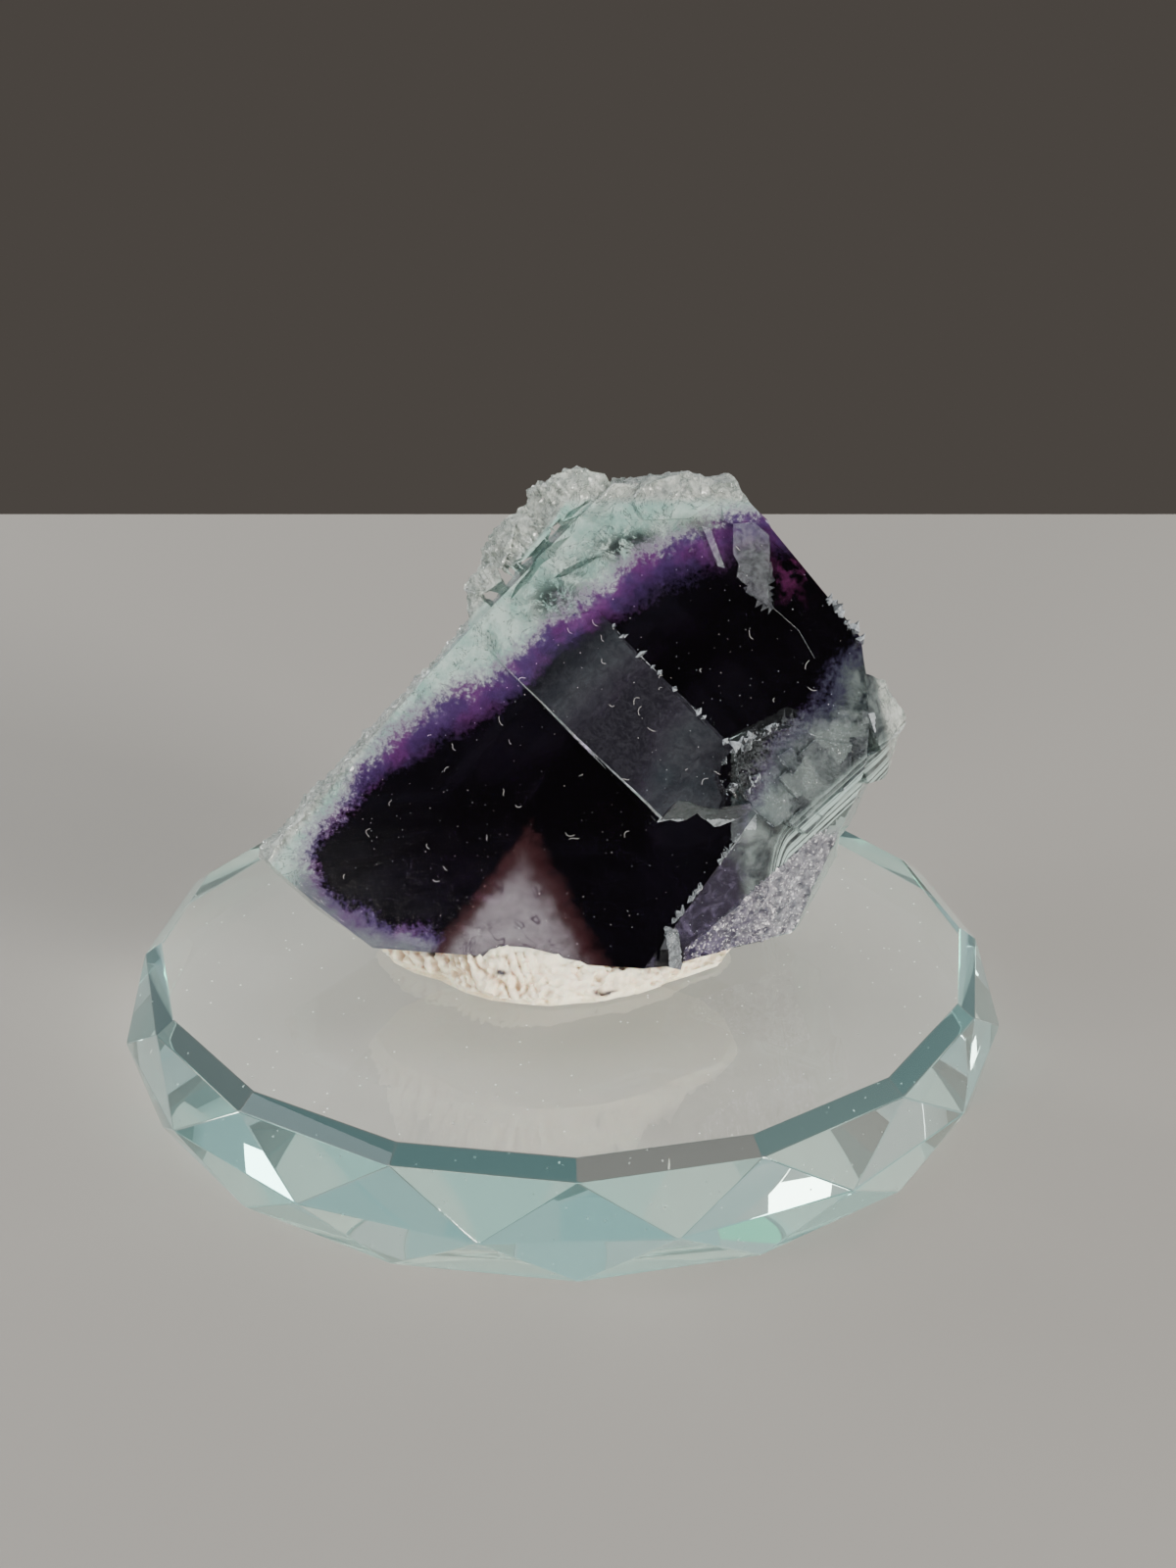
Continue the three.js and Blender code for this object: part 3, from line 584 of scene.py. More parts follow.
# Where each of the material's colours goes
def keepColourPlaces(mesh, places, normals, raised, regions, noises):
    u, v, w = toFace(places)
    crusty = np.maximum(regions["crust"], regions["lumps"])
    deep = np.maximum(0, -w - 4)
    core = insideBy(crystal["coreOutline"], u, v) - 0.42 * deep + 0.8 * bumps(raised, 6, seed=5)
    window = insideCorner(crystal["windowCorners"], u, v) - 3 * fade("windowDepth", w)
    windowMilk = fade("windowMilk", v + 0.8 * bumps(raised, 2, seed=8))
    foot = fade("footTop", v + 0.35 * (u + 20)) * fade("footRight", u) * fade("footLeft", u)
    wideTop = fade("bandTop", v - 0.35 * u) * fade("bandRight", u)
    wideLeft = 0.75 * fade("bandLeftFoot", v) * fade("bandLeft", u)
    pits = 0.7 * noises["fibres"] + 0.5 * noises["fine"] + 0.4 * (wideTop + wideLeft)
    onBevel = fade("bevelFacing", normals @ onDirection(*crystal["bevelFacing"]))
    bevelPale = fade("bevelPale", u + 0.25 * (v - 8) + 1.2 * bumps(raised, 2.5, seed=6))
    (startU, startV), (endU, endV) = crystal["edgeLine"]
    edgeLength = math.hypot(endU - startU, endV - startV)
    fromEdge = ((endV - startV) * (u - startU) - (endU - startU) * (v - startV)) / edgeLength
    bandWidth = crystal["edgeBandWidth"]
    edgeBand = np.clip((fromEdge + bandWidth) / bandWidth, 0, 1)
    (oliveU, oliveV), (oliveReachU, oliveReachV) = crystal["olivePatch"]
    olive = np.hypot((u - oliveU) / oliveReachU, (v - oliveV) / oliveReachV) - 1
    wayU, wayV = crystal["stepWay"]
    values = {
        "core": core,
        "window": window,
        "windowLow": 0.25 + 0.75 * windowMilk,
        "low": 0.85 * foot,
        "band": 1 + 2.6 * np.clip(wideTop + wideLeft, 0, 1),
        "rough": regions["rough"],
        # Painted shade in the crust's hollows, where its relief sinks
        "hollow": crusty * fade("hollowFoot", v) * fade("hollowDepth", pits),
        "clear": np.clip(regions["crust"] + regions["lumps"] + regions["tip"], 0, 1),
        "right": fade("rightSide", u - 0.35 * (v - 20)),
        "squares": regions["squares"],
        # The steps' own two directions, for their square plates of colour
        "stepsAlong": wayU * u + wayV * v + 0.5 * noises["fine"],
        "stepsAcross": wayU * v - wayV * u + 0.5 * noises["finer"],
        "bevel": onBevel * fade("bevelLeft", u) * fade("bevelTop", v),
        "bevelPale": bevelPale,
        "edgeBand": edgeBand * fade("edgeLeft", u) * fade("edgeTop", v),
        "breakPlace": fade("breakGrey", u + 0.6 * (v - 5)),
        "murk": softPatches(crystal["murkPatches"], u, v),
        "wine": softPatches(crystal["winePatches"], u, v),
        "olive": fade("olive", olive),
    }
    for name, value in values.items():
        keepValues(mesh, name, value)


def shapeCrystal():
    piece = copyOfNode("fluorite_crystal", "fluorite_crystal_dressed")
    evenTriangles(piece)
    refine(piece, crystalEdgeAt)
    mesh = piece.data
    places, normals = spots(mesh), normalsOf(mesh)
    print("crystal refined to", len(mesh.polygons), "triangles")
    regions = crystalRegions(places, normals)
    u, v, w = toFace(places)
    sizes = crystal["noiseSizes"]
    fine = bumps(places, sizes["fine"], seed=1)
    wide = bumps(places, sizes["wide"], seed=3, octaves=2)
    # The crust's fibres run down to the right, so its noise is drawn out that way
    wayU, wayV = crystal["fibreWay"]
    drawnOut = np.column_stack([(wayU * u + wayV * v) / 7, wayU * v - wayV * u, w / 3])
    noises = {
        "fine": fine,
        "finer": bumps(places, sizes["finer"], seed=2),
        "wide": wide,
        "fibres": bumps(drawnOut * mm, sizes["fibres"], seed=4),
        "ridged": 1 - 2 * np.abs(fine),
        "foil": 1 - 2 * np.abs(bumps(places, sizes["foil"], seed=7, octaves=2)),
        "terraces": np.round(wide * 4) / 4,
        "setBack": -1,
    }
    lift = np.zeros(len(places))
    for region, heights in crystal["relief"].items():
        lift += regions[region] * sum(height * noises[kind] for kind, height in heights.items())
    raised = places + normals * (lift * mm)[:, None]
    raised[:, 2] = np.minimum(raised[:, 2], cadHigh.z - 0.05 * mm)
    moveSpots(mesh, raised)
    keepColourPlaces(mesh, places, normals, raised, regions, noises)
    keepLitFacets(mesh, regions["rough"])
    selectOnly(piece)
    bpy.ops.object.shade_smooth_by_angle(angle=math.radians(18))
    faceted = np.max([regions["rough"], regions["crust"], regions["lumps"], regions["tip"]], axis=0)
    for polygon in mesh.polygons:
        if faceted[polygon.vertices[0]] > 0.3:
            polygon.use_smooth = False
    return piece


# How deep in the core a spot is, with a clouded and grainy border
def coreDepth(tree):
    blur = swing(tree, cloudsIn(tree, 3.2, 5, 0.5), 3.0)
    grain = swing(tree, cloudsIn(tree, 0.55, 6, 0.75), 6.5)
    return reckon(tree, "ADD", reckon(tree, "ADD", valueOf(tree, "core"), blur), grain)


def rimColour(tree, crazed):
    colours = crystal["colours"]
    haze = stepsBetween(tree, cloudsIn(tree, 3.5, 6, 0.7, seed=11), 0.38, 0.62)
    clear = blendColours(tree, haze, *colours["rim"])
    murk = stepsBetween(tree, cloudsIn(tree, 5, 7, 0.75, 0.5, seed=41), 0.55, 0.66)
    blots = stepsBetween(tree, cloudsIn(tree, 1.5, 8, 0.8, 1.2, seed=43), 0.4, 0.52)
    patches = reckon(tree, "MULTIPLY", valueOf(tree, "murk"), reckon(tree, "MULTIPLY", blots, 1.2))
    murky = reckon(tree, "ADD", reckon(tree, "MULTIPLY", murk, 0.4), patches, clamp=True)
    patched = blendColours(tree, murky, clear, colours["murk"])
    veins = reckon(tree, "MULTIPLY", stepsBetween(tree, crazed, 0.014, 0.003), 0.7)
    return blendColours(tree, veins, patched, colours["vein"])


def mottledColour(tree):
    blotches = stepsBetween(tree, cloudsIn(tree, 2.0, 8, 0.75, 0.6, seed=23), 0.38, 0.66)
    return blendColours(tree, blotches, *crystal["colours"]["stepMottle"])


# Square plates, light and dark, over the mottled colour of the steps
def stepColour(tree, mottled):
    place = put(tree, "ShaderNodeCombineXYZ", {
        "X": valueOf(tree, "stepsAlong"),
        "Y": valueOf(tree, "stepsAcross"),
    }).outputs[0]
    plates = put(tree, "ShaderNodeTexVoronoi", {
        "Vector": place,
        "Scale": 0.42,
        "Randomness": 0.75,
    }, voronoi_dimensions="2D", distance="CHEBYCHEV")
    brightness = stepsBetween(tree, plates.outputs["Color"], 0.25, 0.75)
    plated = blendColours(tree, brightness, *crystal["colours"]["stepPlates"])
    return blendColours(tree, partOf(tree, "squares", 0.6), mottled, plated)


# From the pale rim through a veil of lilac and a violet band to the black core
def coreColour(tree, depth, rim, steps):
    colours = crystal["colours"]
    right, low = valueOf(tree, "right"), valueOf(tree, "low")
    pale = blendColours(tree, right, blendColours(tree, low, rim, colours["leftFoot"]), steps)
    veil = blendColours(tree, right, colours["veil"], colours["veilRight"])
    veilBelow = blendColours(tree, low, veil, colours["veilFoot"])
    zones = stepsBetween(tree, cloudsIn(tree, 4, 4, 0.6, seed=51), 0.42, 0.6)
    indigo = blendColours(tree, zones, *colours["violet"])
    hue = blendColours(tree, right, indigo, colours["violetRight"])
    lilac = blendColours(tree, stepsBetween(tree, depth, -2.2, 0.2), pale, veilBelow)
    violet = blendColours(tree, stepsBetween(tree, depth, -0.5, 0.9), lilac, hue)
    flecks = stepsBetween(tree, cloudsIn(tree, 1.6, 6, 0.65, seed=47), 0.46, 0.62)
    wine = reckon(tree, "MULTIPLY", valueOf(tree, "wine"), flecks)
    dark = blendColours(tree, wine, colours["black"], colours["wine"])
    narrowed = reckon(tree, "DIVIDE", depth, valueOf(tree, "band"))
    return blendColours(tree, stepsBetween(tree, narrowed, 0.1, 1.5), violet, dark)


# The window: burgundy where it thins, and in the middle a milky lilac grey, the painted light of the tack
# showing through, brighter low down
def windowColour(tree, around):
    colours = crystal["colours"]
    opening = reckon(tree, "ADD", valueOf(tree, "window"), swing(tree, cloudsIn(tree, 1.3, 6), 3.0))
    burgundy = blendColours(tree, stepsBetween(tree, opening, -1.4, 0.6), around, colours["burgundy"])
    paintedTackLight = blendColours(tree, cloudsIn(tree, 1.1, 8, 0.7, 0.8, seed=31), *colours["milk"])
    lines = thinLines(tree, cloudsIn(tree, 4, 3, 0.5, 1, seed=61))
    cracked = blendColours(tree, stepsBetween(tree, lines, 0.012, 0.004), paintedTackLight, colours["windowCrack"])
    tackLightShare = reckon(tree, "MULTIPLY", stepsBetween(tree, opening, 0.2, 3.6), valueOf(tree, "windowLow"))
    return blendColours(tree, tackLightShare, burgundy, cracked)


# The olive spot under the top, the painted sheen of the strip, the bevel and the striped edge
def frontColour(tree, depth, mottled, around):
    colours = crystal["colours"]
    olive = blendColours(tree, partOf(tree, "olive", 0.8), around, colours["olive"])
    # Painted reflection: a mottled grey sheen on the strip, shown only deep in the black core
    sheenMottle = stepsBetween(tree, cloudsIn(tree, 0.9, 8, 0.8, 1.5, seed=27), 0.42, 0.62)
    paintedSheen = blendColours(tree, sheenMottle, *colours["strip"])
    stripSheenShare = reckon(tree, "MULTIPLY", valueOf(tree, "strip"), stepsBetween(tree, depth, 1.5, 7))
    sheened = blendColours(tree, reckon(tree, "MULTIPLY", stripSheenShare, 0.9), olive, paintedSheen)
    streaks = stepsBetween(tree, cloudsIn(tree, 1.4, 8, 0.8, 1.2, seed=53), 0.48, 0.66)
    streaked = blendColours(tree, streaks, *colours["bevel"])
    bevelHue = blendColours(tree, valueOf(tree, "bevelPale"), streaked, mottled)
    bevelled = blendColours(tree, valueOf(tree, "bevel"), sheened, bevelHue)
    bands = put(tree, "ShaderNodeTexNoise", {
        "W": partOf(tree, "edgeBand", 9.0),
        "Scale": 1.0,
        "Detail": 4.0,
    }, noise_dimensions="1D")
    onEdge = stepsBetween(tree, valueOf(tree, "edgeBand"), 0.05, 0.4)
    stripes = reckon(tree, "MULTIPLY", stepsBetween(tree, bands.outputs["Fac"], 0.42, 0.56), onEdge)
    return blendColours(tree, stripes, bevelled, colours["edgeStripe"])


# Painted highlights on the lit facets, broken up unevenly by noise, and specks of dust
def litColour(tree, around):
    glintBreakup = cloudsIn(tree, 0.9, 7, 0.75, 1.4, seed=81)
    unevenGlint = reckon(tree, "ADD", reckon(tree, "MULTIPLY", glintBreakup, 4), -1.1)
    shine = reckon(tree, "MULTIPLY", valueOf(tree, "lit"), unevenGlint, clamp=True)
    dusty = stepsBetween(tree, cloudsIn(tree, 6, 3, seed=71), 0.4, 0.6)
    specks = reckon(tree, "MULTIPLY", dustIn(tree, 0.9, 0.05, seed=3), dusty)
    return blendColours(tree, reckon(tree, "MAXIMUM", shine, specks), around, crystal["colours"]["glint"])


def crustColour(tree, crazed, around):
    colours = crystal["colours"]
    frosted = stepsBetween(tree, cloudsIn(tree, 1.6, 8, 0.8, 0.8, seed=5), 0.36, 0.64)
    cuts = reckon(tree, "MULTIPLY", stepsBetween(tree, crazed, 0.02, 0.005), 0.6)
    cut = blendColours(tree, cuts, blendColours(tree, frosted, *colours["crust"]), colours["crustCut"])
    # Painted shade in the crust's hollows
    hollowShaded = blendColours(tree, partOf(tree, "hollow", 0.8), cut, colours["crustHollow"])
    return blendColours(tree, valueOf(tree, "clear"), around, hollowShaded)


def breakColour(tree, around):
    colours = crystal["colours"]
    purpleFrost = stepsBetween(tree, cloudsIn(tree, 2.4, 6, 0.7, seed=7), 0.4, 0.6)
    greyFrost = stepsBetween(tree, cloudsIn(tree, 0.9, 5, 0.7, seed=15), 0.4, 0.6)
    purple = blendColours(tree, purpleFrost, *colours["breakPurple"])
    grey = blendColours(tree, greyFrost, *colours["breakGrey"])
    frosted = blendColours(tree, valueOf(tree, "breakPlace"), purple, grey)
    # Painted sparks of light on the break's lit facets
    sparked = blendColours(tree, valueOf(tree, "lit"), frosted, colours["breakSpark"])
    return blendColours(tree, partOf(tree, "rough", 0.95), around, sparked)


def crystalMaterial():
    material, tree, shader = newMaterial("fluorite")
    depth = coreDepth(tree)
    crazed = thinLines(tree, cloudsIn(tree, 3.4, 5, 0.62, 1.4, seed=91))
    mottled = mottledColour(tree)
    body = coreColour(tree, depth, rimColour(tree, crazed), stepColour(tree, mottled))
    front = frontColour(tree, depth, mottled, windowColour(tree, body))
    finished = breakColour(tree, crustColour(tree, crazed, litColour(tree, front)))
    tree.links.new(finished, shader.inputs["Base Color"])
    dullness = crystal["dullness"]
    smudges = reckon(tree, "MULTIPLY", cloudsIn(tree, 4, 6, seed=3), dullness["smudges"])
    onBreak = reckon(tree, "ADD", partOf(tree, "rough", dullness["break"]), smudges)
    dulled = reckon(tree, "ADD", onBreak, partOf(tree, "squares", dullness["steps"]))
    tree.links.new(dulled, shader.inputs["Roughness"])
    relief = put(tree, "ShaderNodeBump", {
        "Strength": 0.25, "Distance": 0.12 * mm, "Height": cloudsIn(tree, 0.6, 6, 0.7, seed=9),
    })
    tree.links.new(relief.outputs["Normal"], shader.inputs["Normal"])
    shader.inputs["Transmission Weight"].default_value = crystal["transmission"]
    shader.inputs["IOR"].default_value = crystal["ior"]
    return material


# Specks of dust and short fibres of lint that lie on the dark front face, joined in one piece
dirt = {
    "specks": 110,
    "speckSize": (0.025, 0.065),  # mm
    "fibres": 40,
    "fibreLength": (0.3, 1.2),
    "fibreThickness": 0.013,
    "colour": (0.75, 0.74, 0.72),
    "roughness": 0.9,
    "around": [
        (-26, 9), (-21, 18), (-10, 28), (2, 36), (12, 43), (22, 45), (31, 34), (31, 27), (20, 23), (12, 13),
        (17, 9), (10, 1), (-14, 3),
    ],
}


def dropOnFace(source, u, v):
    start = onFace(u, v, 20)
    hit, place, _, _ = source.ray_cast(start, -faceOut)
    return place if hit else None


def shapeDirt(source):
    chance = random.Random(21)
    bits = []
    turnedToFace = Matrix((Vector((1, 0, 0)), faceUp, faceOut)).transposed().to_4x4()
    us = [u for u, v in dirt["around"]]
    vs = [v for u, v in dirt["around"]]
    while len(bits) < dirt["specks"] + dirt["fibres"]:
        u, v = chance.uniform(min(us), max(us)), chance.uniform(min(vs), max(vs))
        if insideBy(dirt["around"], np.array([u]), np.array([v]))[0] < 0:
            continue
        place = dropOnFace(source, u, v)
        if place is None:
            continue
        if len(bits) < dirt["specks"]:
            size = chance.uniform(*dirt["speckSize"]) * mm
            lifted = place + faceOut * size * 0.6
            bpy.ops.mesh.primitive_ico_sphere_add(subdivisions=1, radius=size, location=lifted)
            bpy.context.object.scale = (chance.uniform(0.5, 1), chance.uniform(0.5, 1), 0.7)
        else:
            length = chance.uniform(*dirt["fibreLength"]) * mm
            bpy.ops.curve.primitive_bezier_curve_add(radius=length / 2)
            fibre = bpy.context.object
            first, last = fibre.data.splines[0].bezier_points
            first.handle_right = first.co + Vector((0.3, chance.uniform(-0.5, 0.8), 0.02)) * length
            last.handle_left = last.co + Vector((-0.3, chance.uniform(-0.5, 0.8), 0.02)) * length
            fibre.data.bevel_depth = dirt["fibreThickness"] * mm
            fibre.data.bevel_resolution = 0
            fibre.data.resolution_u = 5
            spin = Matrix.Rotation(chance.uniform(0, math.pi), 4, "Z")
            lifted = place + faceOut * dirt["fibreThickness"] * 1.2 * mm
            fibre.matrix_world = Matrix.Translation(lifted) @ turnedToFace @ spin
            bpy.ops.object.convert(target="MESH")
        bits.append(bpy.context.object)
    bpy.ops.object.select_all(action="DESELECT")
    for bit in bits:
        bit.select_set(True)
    bpy.context.view_layer.objects.active = bits[0]
    bpy.ops.object.join()
    piece = bpy.context.object
    piece.name = "fluorite_dust"
    bpy.ops.object.transform_apply(location=True, rotation=True, scale=True)
    return piece


def dirtMaterial():
    material, _, shader = newMaterial("dust")
    shader.inputs["Base Color"].default_value = (*dirt["colour"], 1)
    shader.inputs["Roughness"].default_value = dirt["roughness"]
    return material


# The pad of tack
putty = {
    "longestEdge": 0.4,  # mm
    "ridgeHeight": 0.8,
    "ridgeSpacing": 1.5,
    "lumpHeight": 0.5,
    "crumpleHeight": 0.6,
    "grainHeight": 0.12,
    "setBack": 0.5,
    "raggedDepth": 0.9,
    "roughness": 0.55,
    "glow": {"share": 0.25, "depth": 1.0},
    # Painted shade in dark gaps, and specks of dirt: place along the front, height over the foot, half
    # width, half height
    "gapShadeAndDirt": [
        (4, 1.1, 0.42, 0.3), (5.2, 0.8, 0.7, 0.16), (-14.8, 3.2, 0.8, 0.5), (-6.6, 3.1, 0.5, 0.25),
    ],
    "colours": {
        "cream": ((0.95, 0.82, 0.60), (1, 0.93, 0.77)),
        # painted shade in the grooves of the folds
        "tan": (0.50, 0.33, 0.21),
        # painted shade in the creases
        "creaseShade": (0.52, 0.38, 0.26),
        # mark: painted shade in the gaps, and the colour of the dirt
        "mark": (0.035, 0.03, 0.045),
    },
}


def shapePutty():
    piece = copyOfNode("putty_pad", "putty_pad_kneaded")
    evenTriangles(piece)
    refine(piece, lambda places: np.full(len(places), putty["longestEdge"] * mm))
    mesh = piece.data
    places, normals = spots(mesh), normalsOf(mesh)
    x, _, z = (places / mm).T
    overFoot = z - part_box("putty_pad")[0].z / mm
    shown = smooth(0.3, -0.3, normals[:, 1]) * smooth(-0.5, 0.1, normals[:, 2])
    outside = smooth(0.1, 0.8, overFoot) * shown
    leftShare = smooth(4, -8, x)
    warp = 2.4 * bumps(places, 5, seed=12) + 0.9 * bumps(places, 1.8, seed=15)
    slant = x + 0.55 * overFoot + warp
    folds = np.abs(np.sin(slant * math.pi / putty["ridgeSpacing"])) - 0.5
    ridges = folds * (0.7 + bumps(places, 3, seed=16))
    crumpled = 1 - 2 * np.abs(bumps(places, 1.3, seed=14, octaves=2))
    lift = outside * (
        putty["ridgeHeight"] * leftShare * ridges
        + putty["lumpHeight"] * bumps(places, 4, seed=13, octaves=2)
        + putty["crumpleHeight"] * crumpled
        + putty["grainHeight"] * bumps(places, 0.7, seed=17)
        - putty["setBack"]
    )
    raised = places + normals * (lift * mm)[:, None]
    # The foot's edge is ragged: it is pulled in sideways here and there
    nearFoot = smooth(1.4, 0.2, overFoot) * smooth(0.9, 0.4, np.abs(normals[:, 2]))
    tears = np.maximum(0, putty["raggedDepth"] * bumps(raised, 2.6, seed=18, octaves=3) + 0.35)
    sideways = normals * np.array([1, 1, 0])
    moveSpots(mesh, raised - sideways * (nearFoot * tears * mm)[:, None])
    marks = np.zeros(len(x))
    for middle, height, wide, high in putty["gapShadeAndDirt"]:
        marks += np.exp(-((x - middle) / wide) ** 2 - ((overFoot - height) / high) ** 2)
    keepValues(mesh, "marks", np.clip(1.6 * marks, 0, 1) * smooth(0, -0.3, normals[:, 1]))
    keepValues(mesh, "ridges", outside * leftShare * ridges)
    keepValues(mesh, "left", leftShare)
    # Painted shade in the creases of the crumpled surface
    keepValues(mesh, "creaseShade", outside * smooth(0.25, -0.45, crumpled))
    selectOnly(piece)
    bpy.ops.object.shade_smooth_by_angle(angle=math.radians(60))
    return piece


def puttyMaterial():
    material, tree, shader = newMaterial("mineral tack")
    colours = putty["colours"]
    cream = blendColours(tree, cloudsIn(tree, 3, 6, seed=2), *colours["cream"])
    # Painted shade: tan in the grooves of the folds, stronger on the left, broken up by noise
    uneven = reckon(tree, "SUBTRACT", cloudsIn(tree, 1.6, 6, 0.7, 1.5), 0.45)
    streaks = stepsBetween(tree, reckon(tree, "ADD", valueOf(tree, "ridges"), uneven), 0.12, -0.22)
    strength = reckon(tree, "ADD", partOf(tree, "left", 0.4), 0.25)
    grooveShaded = blendColours(tree, reckon(tree, "MULTIPLY", streaks, strength), cream, colours["tan"])
    # Painted shade in the creases
    creaseShaded = blendColours(tree, partOf(tree, "creaseShade", 0.5), grooveShaded, colours["creaseShade"])
    # Painted shade in the gaps, and real specks of dirt
    gapShadedAndDirtied = blendColours(tree, valueOf(tree, "marks"), creaseShaded, colours["mark"])
    tree.links.new(gapShadedAndDirtied, shader.inputs["Base Color"])
    relief = put(tree, "ShaderNodeBump", {
        "Strength": 0.8, "Distance": 0.3 * mm, "Height": cloudsIn(tree, 0.6, 6, 0.65, seed=4),
    })
    tree.links.new(relief.outputs["Normal"], shader.inputs["Normal"])
    shader.inputs["Roughness"].default_value = putty["roughness"]
    shader.inputs["Subsurface Weight"].default_value = putty["glow"]["share"]
    shader.inputs["Subsurface Scale"].default_value = putty["glow"]["depth"] * mm
    return material


# The glass disc
disc = {
    "bevel": 0.12,  # mm, the ground edges between facets
    "ior": 1.52,
    "tint": (0.80, 0.93, 0.90),
    "tintDensity": 14,
    "rimUpright": 0.97,  # facets that look up or down less than this belong to the rim
    # Each rim facet gets its own colour between these: the glass's aqua tint and a painted sparkle of light
    "rimColours": ((0.40, 0.84, 0.86), (1, 1, 0.95)),
    "rimTransmission": 0.9,  # the cut rim scatters a little, so it looks luminous
}


def shapeDisc():
    piece = copyOfNode("glass_disc", "glass_disc_polished")
    bpy.ops.object.mode_set(mode="EDIT")
    bpy.ops.mesh.select_all(action="SELECT")
    bpy.ops.mesh.dissolve_limited(angle_limit=math.radians(0.5))
    bpy.ops.mesh.bevel(offset=disc["bevel"] * mm, segments=2, affect="EDGES")
    bpy.ops.object.mode_set(mode="OBJECT")
    low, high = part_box("glass_disc")
    places = np.clip(spots(piece.data), np.array(low), np.array(high))
    moveSpots(piece.data, places)
    _, outward = facetsOf(piece.data)
    onRim = np.abs(outward[:, 2]) < disc["rimUpright"]
    piece.data.polygons.foreach_set("material_index", onRim.astype(np.int32))
    # A value for each facet, for the rim's painted sparkle
    keepValues(piece.data, "facet", shuffled(np.round(outward * 9)), "FACE")
    bpy.ops.object.shade_smooth_by_angle(angle=math.radians(12))
    return piece


def discMaterial(name, colours, transmission):
    material, tree, shader = newMaterial(name)
    tree.links.new(blendColours(tree, valueOf(tree, "facet"), *colours), shader.inputs["Base Color"])
    shader.inputs["Transmission Weight"].default_value = transmission
    shader.inputs["IOR"].default_value = disc["ior"]
    smudges = reckon(tree, "MULTIPLY", stepsBetween(tree, cloudsIn(tree, 14, 6, 0.7), 0.55, 0.75), 0.05)
    specks = reckon(tree, "MULTIPLY", dustIn(tree, 2.2, 0.05), 0.5)
    tree.links.new(reckon(tree, "ADD", smudges, specks), shader.inputs["Roughness"])
    inside = put(tree, "ShaderNodeVolumeAbsorption", {
        "Color": (*disc["tint"], 1),
        "Density": disc["tintDensity"],
    })
    tree.links.new(inside.outputs["Volume"], tree.nodes["Material Output"].inputs["Volume"])
    return material


# Dress the three pieces
def dress(piece, material, node):
    piece.data.materials.append(material)
    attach(piece, "root")
    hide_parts(node)


print("disc")
discPiece = shapeDisc()
discPiece.visible_shadow = False
dress(discPiece, discMaterial("disc glass", ((1, 1, 1), (1, 1, 1)), 1), "glass_disc")
discPiece.data.materials.append(discMaterial("cut rim glass", disc["rimColours"], disc["rimTransmission"]))
print("putty")
dress(shapePutty(), puttyMaterial(), "putty_pad")
print("crystal")
crystalPiece = shapeCrystal()
dress(crystalPiece, crystalMaterial(), "fluorite_crystal")
print("dust")
dirtPiece = shapeDirt(crystalPiece)
dirtPiece.data.materials.append(dirtMaterial())
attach(dirtPiece, "root")


# The stage
stage = {
    "floorColour": (0.275, 0.26, 0.24),
    "floorRoughness": 0.7,
    "floorSize": (6, 3),
    "backEdge": 0.2,
    "wallColour": (0.075, 0.066, 0.058),
    "roomColour": (0.38, 0.39, 0.40),
    # Cosines of the angles from the viewer within which the room is dark and past which it is bright
    "darkAround": (0.95, 0.84),
    "middle": (0, 0, 0.03),
    "lights": [
        {"name": "key", "place": (0.75, -0.62, 0.3), "size": (0.3, 0.3), "power": 15,
         "colour": (1, 0.95, 0.88)},
        {"name": "fill", "place": (-0.9, -0.3, 0.7), "size": (0.9, 0.7), "power": 5,
         "colour": (0.92, 0.96, 1)},
        # Seen from above, the table of the disc would mirror the top light
        {"name": "top", "place": (0, 0.15, 1), "size": (0.6, 0.6), "power": 4, "mirrored": False},
        {"name": "low front", "place": (-0.35, -0.9, 0.16), "aim": (0, 0, 0.015), "size": (0.2, 0.12),
         "power": 5.5, "colour": (1, 0.96, 0.9)},
        {"name": "glint", "place": (-0.5, 0.5, 0.35), "size": (0.04, 0.2), "power": 1.2},
    ],
    # Small lights all round, for the cut rim
    "sparkleTurns": (20, 62, 108, 150, 196, 338),  # degrees
    "sparkleAway": 0.6,
    "sparkleRise": 0.32,
    "sparkle": {"aim": (0, 0, 0.01), "size": (0.035, 0.12), "power": 0.5, "colour": (1, 0.98, 0.9),
                "mirrored": False},
}
viewer = {
    "place": Vector((0.00287, -0.23314, 0.13703)),
    "pitchDown": 24.26,  # degrees
    "lens": 2342 / 1600 * 36,  # mm, for a 36 mm sensor
}


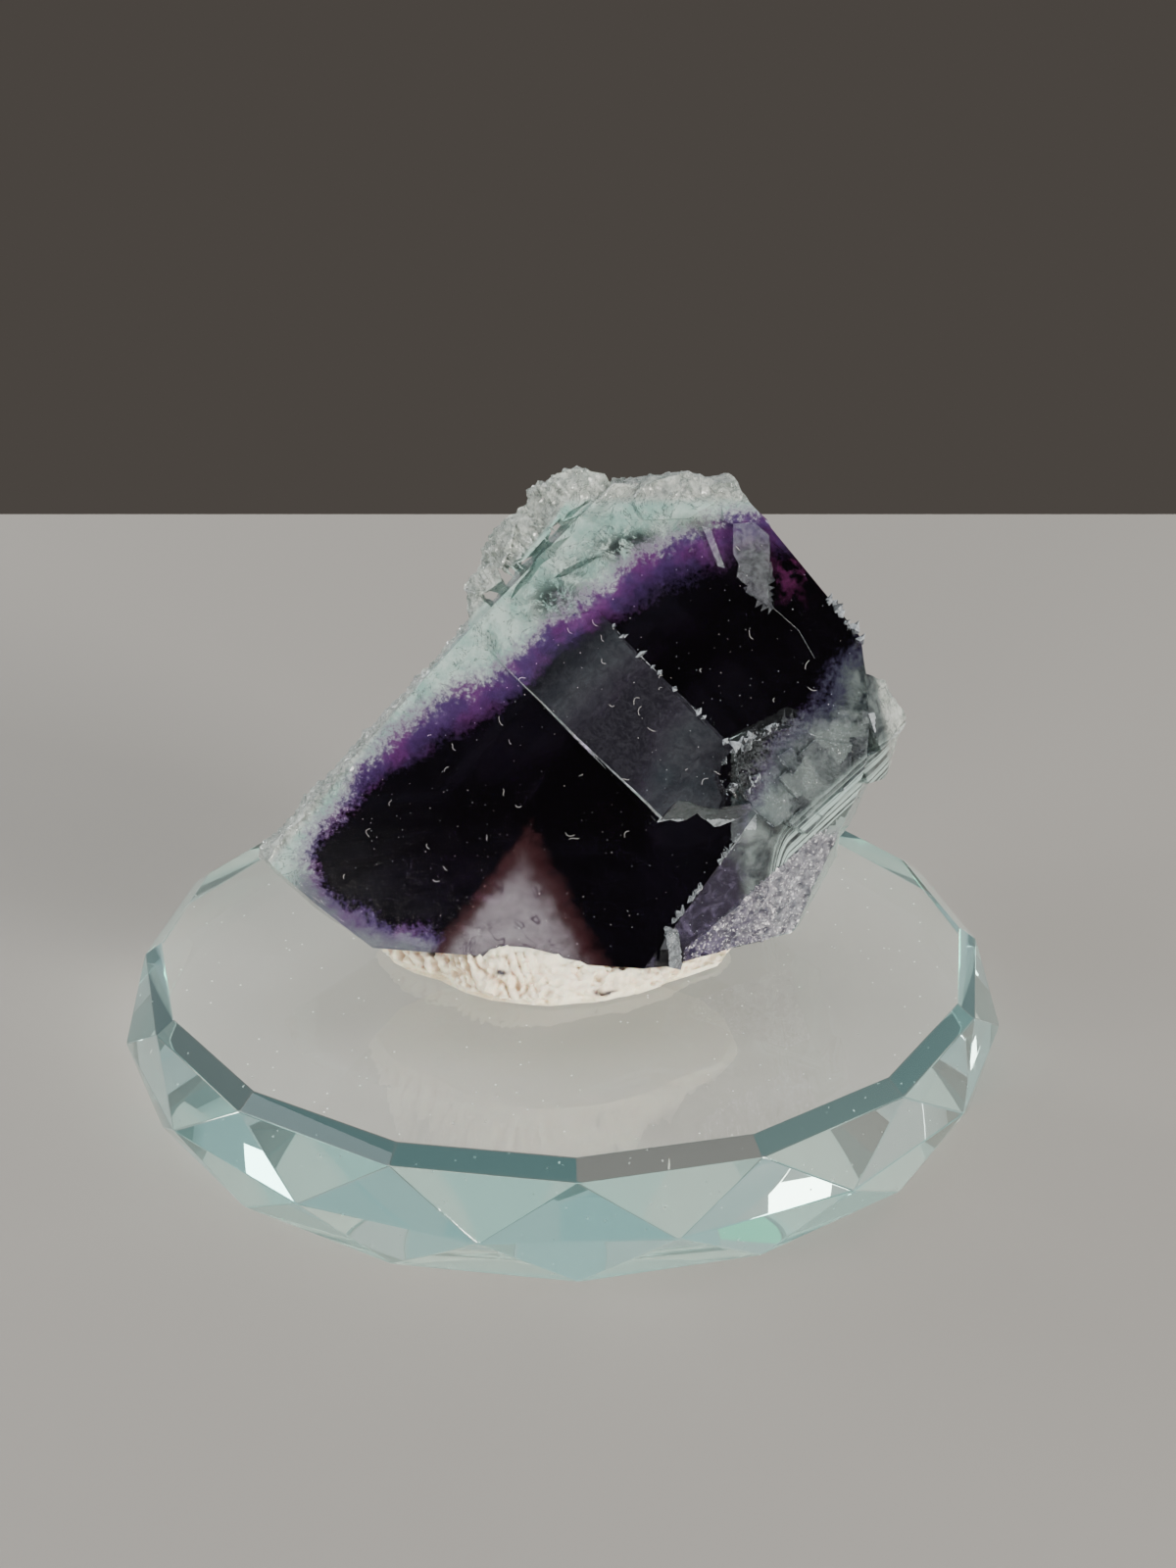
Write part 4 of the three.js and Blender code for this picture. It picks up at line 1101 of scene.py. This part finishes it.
def addFloor():
    bpy.ops.object.select_all(action="DESELECT")
    bpy.ops.mesh.primitive_plane_add(size=1, location=(0, 0, 0))
    floor = bpy.context.object
    floor.name = "floor"
    width, depth = stage["floorSize"]
    floor.scale = (width, depth + stage["backEdge"], 1)
    floor.location = (0, (stage["backEdge"] - depth) / 2, -0.01 * mm)
    bpy.ops.object.transform_apply(location=True, scale=True)
    material, _, shader = newMaterial("floor")
    shader.inputs["Base Color"].default_value = (*stage["floorColour"], 1)
    shader.inputs["Roughness"].default_value = stage["floorRoughness"]
    floor.data.materials.append(material)


def addLight(name, place, size, power, aim=stage["middle"], colour=(1, 1, 1), mirrored=True):
    light = bpy.data.lights.new(name, "AREA")
    light.shape = "RECTANGLE"
    light.size, light.size_y = size
    light.energy = power
    light.color = colour
    holder = bpy.data.objects.new(name, light)
    bpy.context.scene.collection.objects.link(holder)
    holder.location = place
    holder.rotation_euler = (Vector(aim) - Vector(place)).to_track_quat("-Z", "Y").to_euler()
    holder.visible_camera = False
    holder.visible_glossy = mirrored


def addLights():
    for light in stage["lights"]:
        addLight(**light)
    for turn in stage["sparkleTurns"]:
        angle = math.radians(turn)
        towards = Vector((math.cos(angle), math.sin(angle), stage["sparkleRise"]))
        addLight("rim sparkle", towards * stage["sparkleAway"], **stage["sparkle"])


def addWorld():
    world = bpy.data.worlds.new("wall")
    world.use_nodes = True
    tree = world.node_tree
    direction = put(tree, "ShaderNodeTexCoord").outputs["Generated"]
    towards = (viewer["place"] - onFace(*face["middle"])).normalized()
    facing = put(tree, "ShaderNodeVectorMath", {0: direction, 1: towards}, operation="DOT_PRODUCT")
    dark, bright = stage["darkAround"]
    darkened = stepsBetween(tree, facing.outputs["Value"], bright, dark)
    room = blendColours(tree, darkened, stage["roomColour"], stage["wallColour"])
    seen = put(tree, "ShaderNodeLightPath").outputs["Is Camera Ray"]
    shown = blendColours(tree, seen, room, stage["wallColour"])
    tree.links.new(shown, tree.nodes["Background"].inputs["Color"])
    bpy.context.scene.world = world


def addCamera():
    data = bpy.data.cameras.new("camera")
    camera = bpy.data.objects.new("camera", data)
    bpy.context.scene.collection.objects.link(camera)
    camera.location = viewer["place"]
    camera.rotation_euler = (math.radians(90 - viewer["pitchDown"]), 0, 0)
    data.lens = viewer["lens"]
    data.clip_start = 0.01
    bpy.context.scene.camera = camera


print("stage")
addFloor()
addWorld()
addCamera()
addLights()


print("done")
